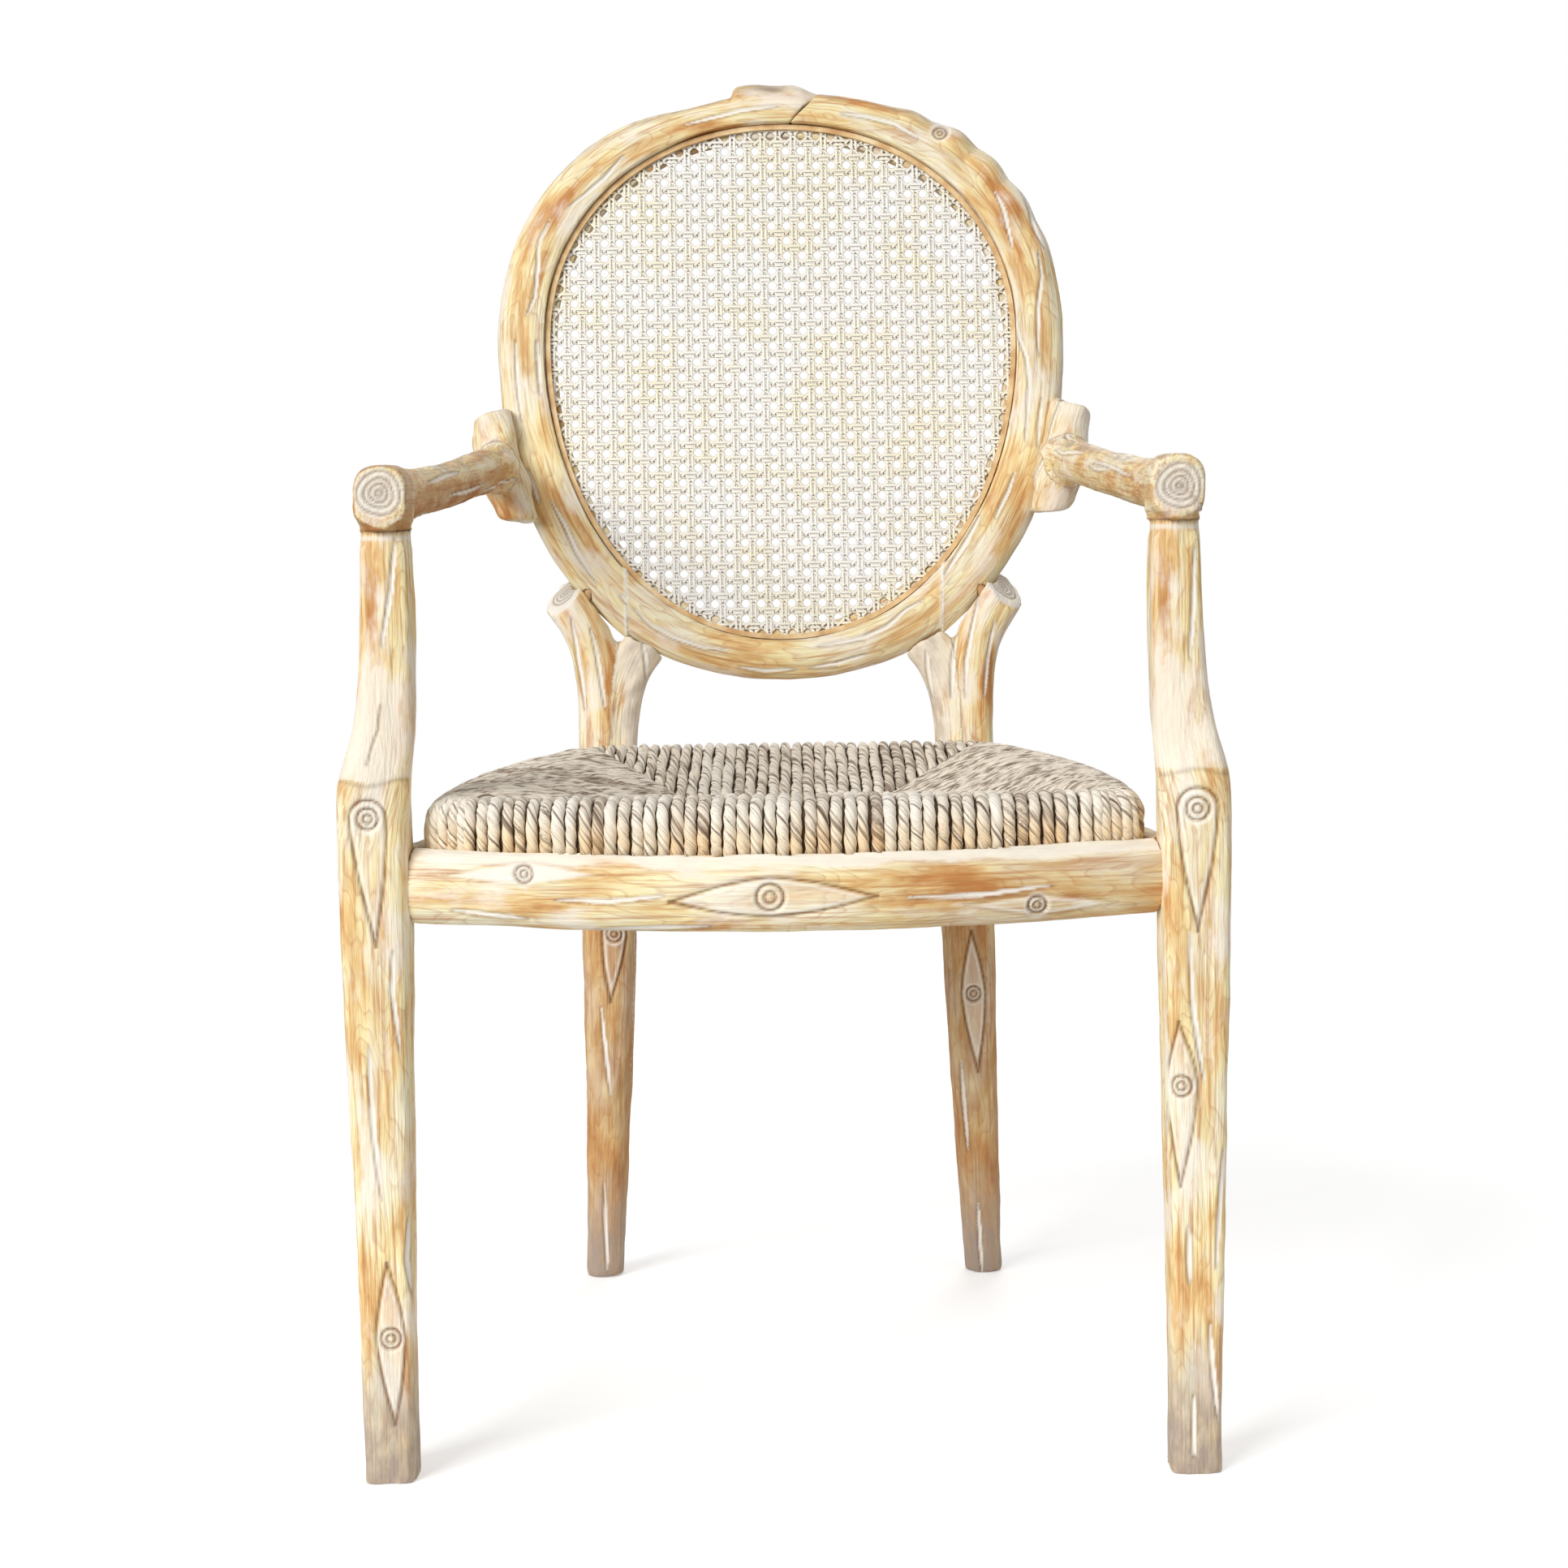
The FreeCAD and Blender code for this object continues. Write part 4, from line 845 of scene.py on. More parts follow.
# Carved eyes: middle, ends of the outline, its half width, the ring's radius, paleness, outline's strength
EYES = {
    "front_leg_left": (((-276.5, 456.6), ((-276.5, 469.0), (-272.9, 372.3)), 12.4, 7.0, 0.05),
                       ((-271.5, 101.4), ((-272.8, 153.5), (-270.0, 42.0)), 10.0, 7.0, 0.4)),
    "front_leg_right": (((274.7, 455.7), ((274.7, 469.5), (275.1, 375.0)), 13.6, 7.6, 0.05),
                        ((263.9, 268.5), ((262.4, 311.1), (263.5, 200.6)), 10.8, 7.0, 0.35)),
    "front_seat_rail": (((-9.4, 404.1), ((-75.3, 401.5), (60.5, 403.6)), 13.2, 9.0, 0.3),
                        ((-172.6, 420.1), ((-226.4, 418.2), (-120.0, 419.6)), 7.4, 5.9, 0.85, 0.25),
                        ((167.3, 393.8), ((119.3, 395.5), (221.3, 393.1)), 7.4, 5.9, 0.15, 0.3)),
    "back_leg_left": (((-144.5, 315.1), ((-144.5, 326.0), (-149.4, 256.9)), 10.4, 6.4, 0.1),),
    "back_leg_right": (((153.0, 259.1), ((150.8, 313.1), (157.5, 190.6)), 10.4, 6.4, 0.3),),
    "back_stile_right": (((135.6, 974.4), (), 0.0, 5.2, 0.0),),
}

# Chisel grooves on the front, as lines of (x, z) places
STROKES = {
    "front_leg_left": (((-261.8, 369.5), (-263.0, 340.0), (-258.8, 298.3)),
                       ((-280.2, 306.2), (-279.0, 250.0), (-274.2, 196.3)),
                       ((-256.5, 186.6), (-258.5, 155.0), (-254.2, 121.8)),
                       ((-255.0, 644.1), (-258.0, 610.0), (-266.0, 568.3))),
    "front_leg_right": (((268.9, 373.5), (272.0, 320.0), (279.5, 270.5)), ((292.7, 226.1), (288.0, 141.2)),
                        ((269.1, 174.0), (269.5, 131.3)), ((282.9, 107.9), (286.0, 70.0), (289.9, 35.1)),
                        ((272.6, 56.7), (272.6, 10.7)), ((275.6, 630.5), (274.5, 590.0), (271.5, 552.0))),
    "front_seat_rail": (((-153.4, 403.0), (-115.0, 402.0), (-77.3, 405.9)),
                        ((-224.8, 394.8), (-169.2, 388.5)),
                        ((-128.4, 380.9), (-46.2, 384.5)), ((79.6, 402.0), (130.0, 402.5), (180.7, 407.9))),
    "back_leg_left": (((-158.4, 256.8), (-152.3, 170.2)), ((-161.4, 92.5), (-162.7, 4.8)),
                      ((-160.3, 570.7), (-155.1, 551.1), (-151.3, 527.0), (-147.5, 499.5)),
                      ((-175.9, 579.0), (-171.6, 551.3), (-167.8, 527.1), (-165.3, 499.7)),
                      ((-116.8, 556.9), (-114.4, 542.1), (-114.2, 525.8))),
    "back_leg_right": (((142.8, 199.7), (149.5, 114.3)), ((158.8, 68.0), (163.1, 0.6)),
                       ((160.5, 591.2), (155.9, 568.9), (149.4, 537.3), (147.5, 505.7)),
                       ((142.2, 560.7), (138.8, 540.4), (136.5, 505.6)),
                       ((173.7, 570.5), (167.3, 536.8), (163.4, 505.3)),
                       ((116.8, 547.7), (117.9, 529.7), (121.0, 505.6))),
    "back_stile_left": (((-175.7, 916.2), (-159.9, 928.0), (-144.7, 940.5), (-127.4, 961.1)),
                        ((-190.2, 907.8), (-199.3, 889.0), (-200.8, 864.4), (-203.1, 842.6), (-210.7, 825.7)),
                        ((-220.5, 809.0), (-219.3, 784.4), (-217.4, 759.9), (-214.8, 738.0)),
                        ((-202.0, 808.5), (-200.2, 783.9), (-199.0, 759.3)),
                        ((-78.7, 984.5), (-56.9, 989.8), (-29.6, 996.2), (3.6, 999.5)),
                        ((-191.7, 673.7), (-180.3, 654.5), (-170.7, 631.4), (-154.7, 605.4)),
                        ((-136.4, 596.3), (-126.4, 586.7), (-112.0, 572.0)),
                        ((-211.9, 701.3), (-205.8, 686.3), (-201.2, 669.9))),
    "back_lower_rail": (((-126.0, 586.0), (-109.1, 569.6), (-91.0, 559.9), (-66.9, 551.4), (-45.5, 548.3)),
                        ((-39.8, 534.0), (-17.1, 530.6), (10.4, 531.8)),
                        ((116.7, 588.2), (100.7, 579.9), (84.6, 565.7), (65.2, 557.5), (42.6, 553.3),
                         (24.6, 550.3)),
                        ((68.4, 543.3), (42.4, 535.2), (17.7, 532.3))),
    "back_stile_right": (((52.0, 992.3), (74.2, 989.4), (97.5, 983.1), (118.7, 968.6)),
                         ((179.9, 925.7), (187.5, 907.8), (192.4, 886.1), (194.2, 875.9)),
                         ((201.4, 925.1), (209.4, 908.0), (214.8, 888.4), (220.4, 875.9)),
                         ((214.8, 875.5), (218.3, 853.7), (214.3, 825.6), (213.8, 800.1), (214.8, 785.4)),
                         ((194.1, 825.3), (198.1, 802.8), (204.3, 785.7), (205.8, 764.3), (204.0, 741.0),
                          (201.5, 715.1)),
                         ((216.2, 753.3), (213.8, 732.1), (211.4, 710.8)),
                         ((192.5, 692.0), (186.9, 676.2), (178.7, 660.5), (174.6, 651.9)),
                         ((163.6, 658.2), (156.1, 643.1), (146.5, 627.4), (131.6, 606.5))),
}


def carve(name, axes, zero, seed, grooves, details=None, rough=None, shape=None):
    """Carves and dresses one wooden piece: rough forms it first, shape works the fine mesh."""
    if rough:
        start = shaped_copy(name, ROUGH_VOXEL)
        rough(Smoother(start))
        mesh = remeshed(start, VOXEL, 1)
    else:
        mesh = shaped_copy(name, VOXEL)
    smoother = Smoother(mesh)
    smoother.relax(3)
    if shape:
        shape(smoother)
    points, normals = mesh_points(mesh), mesh_normals(mesh)
    branch = Branch(points, axes, zero)
    carving = Carving(points, normals)
    carving.seeded(branch, seed, grooves, name in STROKES)
    for line in STROKES.get(name, ()):
        carving.stroke(line)
    for eye in EYES.get(name, ()):
        carving.knot(*eye)
    if details:
        details(carving)
    grain = branch.grain()
    ripple = np.clip(0.5 + 0.5 * waves(grain / RIPPLE, seed + 1), 0, 1.6)
    tooling = np.clip(0.5 + 0.5 * waves(grain / TOOLING, seed + 2), 0, 1.6)
    depth = carving.cut + ripple + 0.35 * tooling - carving.swell
    moved = points - normals * depth[:, None]
    moved[:, 2] = np.clip(moved[:, 2], BOTTOM_Z, TOP_Z)
    mesh.vertices.foreach_set("co", to_metres(moved).ravel())
    mesh.update()
    # Painted brown shade, with the front rail's real brown stain; it also thins the limewash.
    stain = np.clip(carving.stain, 0, 1)
    store(mesh, "grain", grain)
    store(mesh, "lime", np.clip(carving.lime, 0, 1))
    store(mesh, "dark", np.clip(carving.dark, 0, 1))
    store(mesh, "wash", np.clip(carving.wash, 0, 1) - stain)
    store(mesh, "stain", stain)
    # Painted grey shade on faces that point up and inside the back legs' forks.
    store(mesh, "painted_grey_shade", np.clip(carving.grey, 0, 1))
    store(mesh, "foot", smooth(*FOOT_FADE, points[:, 2]) if "leg" in name else np.zeros(len(points)))
    return finished(name + "_carved", mesh, WOOD, "frame", "limed_wood", name)


def leg_details(side):
    """The joint under the arm, the limed post above the shoulder, and a crack in the left post."""
    def cut(carving):
        x, _, z = carving.points.T
        seam_ring(carving)
        rim = (carving.normals[:, 2] > 0.6) * (z > SEAM_Z - 4) * (z < SEAM_Z + 2)
        step = bell(z - SHOULDER_Z - 2 * np.sin(x / 7), 1.6) * carving.front
        pale = smooth(SHOULDER_Z, SHOULDER_Z + 4, z) * smooth(590, 540, z)
        carving.mark(swell=1.2 * rim, wash=pale, cut=0.8 * step, dark=0.3 * step)
        if side < 0:
            carving.stroke(POST_CRACK, 1.5, 1.8, 0.0)
    return cut


def leg_shape(smoother):
    """Squares a front leg and its post."""
    x, y, z = smoother.points.T
    side = np.sign(x)
    axis = front_leg_axis()
    across = x - side * np.interp(z, axis[:, 2], axis[:, 0])
    back = y - np.interp(z, axis[:, 2], axis[:, 1])
    corner = 0.13 * np.sin(2 * np.arctan2(back, across)) ** 4 * smooth(SEAM_Z - 2, SEAM_Z - 14, z)
    smoother.points = smoother.points + np.column_stack((across * corner, back * corner, np.zeros(len(x))))
    smoother.write()
    smoother.relax(2)


def seam_ring(carving):
    """The open joint under the arm's block, with lime below it."""
    above = carving.points[:, 2] - SEAM_Z
    carving.mark(dark=0.7 * bell(above, 0.9), lime=0.75 * bell(above + 4.5, 1.6))


def arm_rough(smoother):
    """Grows the arm into its limb, and rounds the limb's ends."""
    _, y, z = smoother.points.T
    smoother.wear(14, smooth(405, 420, y) * smooth(680, 662, z))
    smoother.wear(4, smooth(405, 420, y) * smooth(725, 738, z))
    smoother.fill(150)
    limb = smooth(330, 390, smoother.points[:, 1])
    lumps = 1.6 * limb * (waves(smoother.points / 17.0, 61) - 0.4)
    smoother.points = smoother.points + mesh_normals(smoother.mesh) * lumps[:, None]
    smoother.write()


def arm_shape(smoother):
    """Squares the arm's block and breaks its edges."""
    x, y, z = smoother.points.T
    side = np.sign(x)
    across, up = x - side * BLOCK_MIDDLE[0], z - BLOCK_MIDDLE[1]
    turn = np.arctan2(up, across)
    corner = 0.09 * np.sin(2 * turn) ** 2 * smooth(26, 12, y) * smooth(650, 656, z)
    smoother.points = smoother.points + np.column_stack((across * corner, np.zeros(len(x)), up * corner))
    smoother.write()
    smoother.wear(8, smooth(-8, -16, y) * 0.8)


def arm_details(side):
    """Rings on the sawn front end and on the limb's top, and painted brown shade under the arm and round its
    front end.
    """
    def cut(carving):
        _, y, z = carving.points.T
        rise = carving.normals[:, 2]
        front = (side * BLOCK_MIDDLE[0], ARM_FRONT_Y, RING_Z[side])
        carving.rings(front, FRONT, (14.6, 9.7, 5.9, 2.2), 16.5, 1.1, 0.7)
        top = limb_middle(LIMB_TOP_Z) * np.array((side, 1, 1))
        facing = (side * math.sin(LIMB_LEAN), 0, math.cos(LIMB_LEAN))
        carving.rings(top, facing, (11.0, 7.0, 3.0), 17.0, 0.5, 0.3)
        # Painted brown shade on faces that turn down and on the sides near the front end, heavier on the left
        # arm.
        lower = smooth(0.6, -0.2, rise) * smooth(-6, 25, y) * smooth(455, 330, y)
        rim = smooth(0.9, 0.6, -carving.normals[:, 1]) * smooth(20, 5, y)
        seat = (rise < -0.6) * (np.abs(z - SEAM_Z) < 2)
        carving.mark(swell=0.8 * seat, dark=0.5 * bell(z - SEAM_Z, 1.0), wash=0.3 * smooth(380, 420, y),
                     stain=ARM_PAINTED_SHADE[side] * np.maximum(lower, 0.8 * rim))
    return cut


def leg_rough(smoother):
    """Grows the fork and the stem of a back leg into one trunk."""
    smoother.fill(16)
    x, _, z = smoother.points.T
    smoother.wear(2, smooth(505, 530, z) * smooth(130, 120, np.abs(x)))


def stub_details(side):
    """Rings on the lopped end of a back leg's stem, a limed fork with painted grey shade inside it, and
    painted brown shade on the leg below the seat.
    """
    def cut(carving):
        x, _, z = carving.points.T
        along = np.array((side * math.sin(STUB_LEAN), 0, math.cos(STUB_LEAN)))
        end = np.array((side * (STEM_X + STEM_OUT), back_y(STEM_TOP_Z), STEM_TOP_Z))
        facing = along + 0.5 * np.array(FRONT)
        carving.rings(end - along * STUB_CUT, facing, (13.0, 9.0, 5.0, 2.0), 24.0, 0.6, 0.85)
        inner = smooth(142, 126, np.abs(x)) * smooth(440, 480, z)
        # Painted grey shade inside the fork, and painted brown shade on the leg below the seat.
        carving.mark(wash=np.maximum(0.9 * inner, 0.35 * smooth(450, 500, z)), grey=0.6 * inner,
                     stain=0.75 * smooth(400, 370, z))
    return cut


def joint_line(carving):
    """Lime filling along the two joints under the oval."""
    across = np.abs(np.abs(carving.points[:, 0]) - JOINT_X)
    below = smooth(640, 625, carving.points[:, 2])
    filling = bell(across, 1.6) * below
    faces = (np.abs(carving.normals[:, 0]) > 0.75) * (across < 2.5) * below
    carving.mark(lime=0.95 * filling, swell=np.maximum(1.3 * filling, 1.6 * faces))


def left_stile_details(carving):
    """Joint filling, the step where the crest's lip starts, and a worn hollow on the lip."""
    joint_line(carving)
    x, y, z = carving.points.T
    top = smooth(0.3, 0.8, carving.normals[:, 2])
    step = smooth(-33.0, -41.0, x + 0.8 * np.sin(y / 5)) * smooth(-150, -70, x) * top
    lip = smooth(-40, -36, x) * smooth(8, -22, x) * top
    hollow = bell(np.hypot((x + 5) / 13, (z - 1015) / 4), 1.0)
    carving.mark(cut=np.maximum(4.2 * step, 1.8 * hollow), swell=3.4 * lip, wash=0.5 * smooth(-60, -20, x),
                 dark=np.maximum(0.5 * bell(x + 39.5, 2.0) * top, 0.6 * hollow))


def right_stile_details(carving):
    """Joint filling, and the lumpy shoulder."""
    joint_line(carving)
    for lump in LUMPS:
        carving.lump(*lump)


def rail_details(carving):
    """A limed top edge along the front rail, and brown on its right."""
    top = smooth(0.3, 0.75, carving.normals[:, 2])
    right = smooth(20, 120, carving.points[:, 0])
    # Less painted grey shade on the rail's top.
    carving.grey = 0.35 * carving.grey
    carving.mark(wash=top, lime=0.45 * top, stain=0.4 * right * (1 - top))


def crest_shape(smoother):
    """Rounds the tip of the crest's lip."""
    x, _, z = smoother.points.T
    smoother.wear(90, smooth(20, 32, x) * smooth(1000, 1007, z))
    smoother.points[:, 2] -= 5.5 * smooth(12, 34, x) * smooth(994, 1010, z)
    smoother.write()
    smoother.wear(4, smooth(-60, -40, x))


def carved_wood():
    """Every wooden piece that shows."""
    for side, word in ((-1, "left"), (1, "right")):
        turned = mirrored if side < 0 else np.asarray
        seed = SIDE_SEED[side]
        carve("front_leg_" + word, [turned(front_leg_axis())], FRONT, seed, 7, leg_details(side),
              shape=leg_shape)
        carve("arm_" + word, [turned(arm_axis()), turned(limb_axis())], UP, seed + 5, 8, arm_details(side),
              arm_rough, arm_shape)
        carve("back_leg_" + word, [turned(back_leg_axis()), turned(fork_axis())], FRONT, seed + 10, 9,
              stub_details(side), leg_rough)
        stile_work = (left_stile_details, None, crest_shape) if side < 0 else (right_stile_details,)
        carve("back_stile_" + word, [turned(oval_axis(*STILE_TURNS))], BACK_FRONT, seed + 15, 12, *stile_work)
        carve("side_seat_rail_" + word, [turned(side_rail_axis())], (side, 0, 0), seed + 20, 8)
    carve("back_lower_rail", [oval_axis(*LOWER_TURNS)], BACK_FRONT, 300, 10, joint_line)
    carve("front_seat_rail", [front_rail_axis()], FRONT, 310, 7, rail_details)
    carve("rear_seat_rail", [rear_rail_axis()], BACK, 320, 6)


def dress_nodes():
    """Materials for the CAD nodes that stay."""
    for name, obj in nodes.items():
        dress = None
        if name == "corner_block_screws":
            dress = STEEL
        elif name == "cane_spline":
            dress = REED
        elif "dowels" in name or name.startswith(("corner_block", "seat_frame")):
            dress = INNER
        if dress:
            obj.data.materials.clear()
            obj.data.materials.append(dress)


# Swept strands
class Strands:
    """Gathers swept strands into one mesh."""

    def __init__(self):
        self.points, self.quads, self.values = [], [], {}
        self.count = 0

    def sweep(self, path, side, section, **values):
        """Adds a strand: section holds (across, up) offsets for each place on the path."""
        tangent = unit(np.gradient(path, axis=0))
        side = unit(side - tangent * (side * tangent).sum(axis=1, keepdims=True))
        up = np.cross(side, tangent)
        rings, sides = section.shape[:2]
        points = path[:, None, :] + section[..., :1] * side[:, None, :] + section[..., 1:] * up[:, None, :]
        index = np.arange(rings * sides).reshape(rings, sides) + self.count
        turned = np.roll(index, -1, axis=1)
        quads = np.stack((index[:-1], turned[:-1], turned[1:], index[1:]), axis=-1)
        self.points.append(points.reshape(-1, 3))
        self.quads.append(quads.reshape(-1, 4))
        for key, value in values.items():
            self.values.setdefault(key, []).append(value)
        self.count += rings * sides

    def mesh(self, name):
        """The gathered mesh, with its values for the material."""
        mesh = bpy.data.meshes.new(name)
        points = to_metres(np.concatenate(self.points))
        mesh.from_pydata(points.tolist(), [], np.concatenate(self.quads).tolist())
        for key, values in self.values.items():
            store(mesh, key, np.concatenate(values))
        return mesh


# Woven cane
STRAND_WIDTH = 2.5
STRAND_RISE = 0.3
PAIR_SPACING = 1.7
CANE_MIDDLE = 6.2
CANE_MARGIN = 0.6
CANE_STEP = CANE_PITCH / 4
SHORTEST_CANE = 8.0
PANEL_REACH = 330.0
SEARCH_REACH = 700.0
SEARCH_STEP = 0.5
STRAIGHT_WEAVE = 0.36
SLANT_WEAVE = 0.55

# A strand's cross-section, in shares of its width and rise, and how much painted shade darkens each of its
# corners
CANE_OUTLINE = np.array(((-0.5, 0.0), (-0.36, 0.75), (0.36, 0.75), (0.5, 0.0), (0.0, -0.6)))
CANE_PAINTED_SHADE = (1.0, 0.0, 0.0, 1.0, 0.6)


def panel_span(base, direction):
    """Where a line of the back's plane enters and leaves the cane panel, as two runs along it."""
    runs = np.arange(-SEARCH_REACH, SEARCH_REACH, SEARCH_STEP)
    places = np.asarray(base) + runs[:, None] * np.asarray(direction)
    width, rise, drop, power = OPENING
    across = np.abs(places[:, 0]) / (width - CANE_MARGIN)
    up = np.abs(places[:, 1]) / (np.where(places[:, 1] > 0, rise, drop) - CANE_MARGIN)
    inside = across ** power + up ** power < 1
    if not inside.any():
        return None
    return runs[inside][0], runs[inside][-1]


def cane_strand(strands, base, direction, lift):
    """Lays one strand across the panel. Its height in the weave at each place comes from lift."""
    span = panel_span(base, direction)
    if span is None or span[1] - span[0] < SHORTEST_CANE:
        return
    count = int((span[1] - span[0]) / CANE_STEP) + 2
    runs = np.linspace(*span, count)
    places = np.asarray(base) + runs[:, None] * np.asarray(direction)
    level = np.array((1.0, 0.0, 0.0))
    height = (CANE_MIDDLE + lift(places))[:, None]
    path = oval_point(0.0, 0.0) + places[:, :1] * level + places[:, 1:] * BACK_UP + height * BACK_FRONT
    across = np.tile(direction[1] * level - direction[0] * BACK_UP, (count, 1))
    section = np.tile(CANE_OUTLINE * (STRAND_WIDTH, STRAND_RISE), (count, 1, 1))
    strands.sweep(path, across, section, edge=np.tile(CANE_PAINTED_SHADE, count))


def straight_weave(axis, line, rise):
    """Over and under of a straight strand at the crossings along it."""
    return lambda places: rise * np.cos(math.pi * (places[:, axis] / CANE_PITCH + line))


def slant_weave(rise):
    """Over and under of a slanted strand."""
    return lambda places: rise * np.cos(2 * math.pi * places[:, 1] / CANE_PITCH)


def cane():
    """The four runs of the cane's weave."""
    runs = {word: Strands() for word in ("uprights", "levels", "rising", "falling")}
    reach = int(PANEL_REACH / CANE_PITCH)
    for line in range(-reach, reach + 1):
        for part in (-PAIR_SPACING, PAIR_SPACING):
            offset = line * CANE_PITCH + part
            cane_strand(runs["uprights"], (offset, 0.0), (0.0, 1.0), straight_weave(1, line, STRAIGHT_WEAVE))
            cane_strand(runs["levels"], (0.0, offset), (1.0, 0.0), straight_weave(0, line, -STRAIGHT_WEAVE))
    half = math.sqrt(0.5)
    for line in range(-2 * reach, 2 * reach + 1):
        middle = (line + 0.5) * CANE_PITCH / 2
        cane_strand(runs["rising"], (middle, -middle), (half, half), slant_weave(SLANT_WEAVE))
        cane_strand(runs["falling"], (middle, middle), (half, -half), slant_weave(-SLANT_WEAVE))
    for word, strands in runs.items():
        name = "cane_" + word
        finished(name, strands.mesh(name), CANE, "frame", "cane", "cane_panel")


# Rush seat
SEAT_BOTTOM = 424.3
APEX = (55.0, 160.0)
FRONT_CORNER = (238.0, 2.0)
BACK_CORNER = (170.0, 383.0)
STRAND_PITCH = 8.8
STRAND_RADIUS = 4.1
FRONT_HALF = 211.2
BACK_HALF = 149.6
SIDE_START = 31.0
SIDE_END = 361.0
RUSH_STEP = 2.8
RUSH_SIDES = 14
UNDER_SIDES = 7
CORE_VOXEL = 0.004
CORE_INSET = 5.2

# How a strand is laid: rays come in from far off, roll round a pivot inside the edge, then follow the top
RAY_START = 600.0
RAY_LENGTH = 900.0
ROLL_RAY = 90.0
TOP_RAY = 180.0
PIVOT_DEPTH = 17.0
PIVOT_Z = 444.0
ROLL_ANGLES = np.radians(np.linspace(-78, 84, 15))
TOP_STEP = 3.0
SINK = 3.0
DIVE_LENGTH = 9.0
DIVE_DEPTH = 5.0
SHORTEST_TOP = 12.0
SHORTEST_UNDER = 22.0
UNDER_GAP = 0.5
UNDER_RAY_RISE = 4.0
UNDER_INSET = 7.0

# By section: length of one turn of the twist, and how pale the leaf is painted, which stands for the light
# and shade the section gets
TWIST = {"front": 26.0, "back": 62.0, "left": 46.0, "right": 46.0, "under": 40.0}
PAINTED_SECTION_LIGHT = {"front": 1.0, "back": 0.8, "left": 0.6, "right": 0.45, "under": 0.8}

# Strands that fan round the corners: their centre, front or back, and their angles from straight ahead
FANS = (((212.0, 30.0), -1, np.arange(5.0, 85.0, 12.8)), ((150.0, 360.0), 1, np.arange(10.0, 92.0, 20.0)))


def rush_tree():
    """The CAD seat's surface, for laying strands on."""
    mesh = nodes["rush_seat"].data
    points = [Vector(p) for p in mesh_points(mesh)]
    return BVHTree.FromPolygons(points, [tuple(f.vertices) for f in mesh.polygons])


TREE = rush_tree()


def hit(origin, direction):
    """Where a ray first meets the CAD seat."""
    place = TREE.ray_cast(Vector(origin), Vector(direction), RAY_LENGTH)[0]
    return None if place is None else np.array(place)


def edge_path(end, outward):
    """A strand's path: from under the seat's edge, over the roll, and along the top to its end at a seam."""
    end = np.array((*end, PIVOT_Z + 2))
    outward = np.array((*outward, 0.0))
    up = np.array(UP, dtype=float)
    edge = hit(end + outward * RAY_START, -outward)
    if edge is None or (edge - end) @ outward < SHORTEST_TOP:
        return None
    reach = (edge - end) @ outward
    pivot = edge - outward * min(PIVOT_DEPTH, 0.8 * reach)
    pivot[2] = PIVOT_Z
    found = []
    for angle in ROLL_ANGLES:
        direction = outward * math.cos(angle) + up * math.sin(angle)
        place = hit(pivot + direction * ROLL_RAY, -direction)
        if place is not None:
            found.append(place - direction * SINK)
    roll = len(found)
    run = (pivot - end) @ outward
    for distance in np.arange(TOP_STEP, max(run, TOP_STEP + 0.1), TOP_STEP):
        place = hit(pivot - outward * distance + up * TOP_RAY, -up)
        if place is not None:
            found.append(place - up * SINK)
    found = np.array(found)
    dive = smooth(DIVE_LENGTH, 0.0, np.abs((found - end) @ outward)) * (np.arange(len(found)) >= roll - 3)
    found[:, 2] -= DIVE_DEPTH * dive
    for _ in range(3):
        found[1:-1] = (found[:-2] + 2 * found[1:-1] + found[2:]) / 4
    return resampled(found, RUSH_STEP)


def under_path(end, outward):
    """The same strand's run under the seat."""
    end = np.array((*end, SEAT_BOTTOM + STRAND_RADIUS + UNDER_GAP))
    outward = np.array((*outward, 0.0))
    edge = hit(end + outward * RAY_START + np.array((0, 0, UNDER_RAY_RISE)), -outward)
    if edge is None or (edge - end) @ outward < SHORTEST_UNDER:
        return None
    start = end + outward * ((edge - end) @ outward - UNDER_INSET)
    return resampled(np.array((start, end)), 2 * RUSH_STEP)


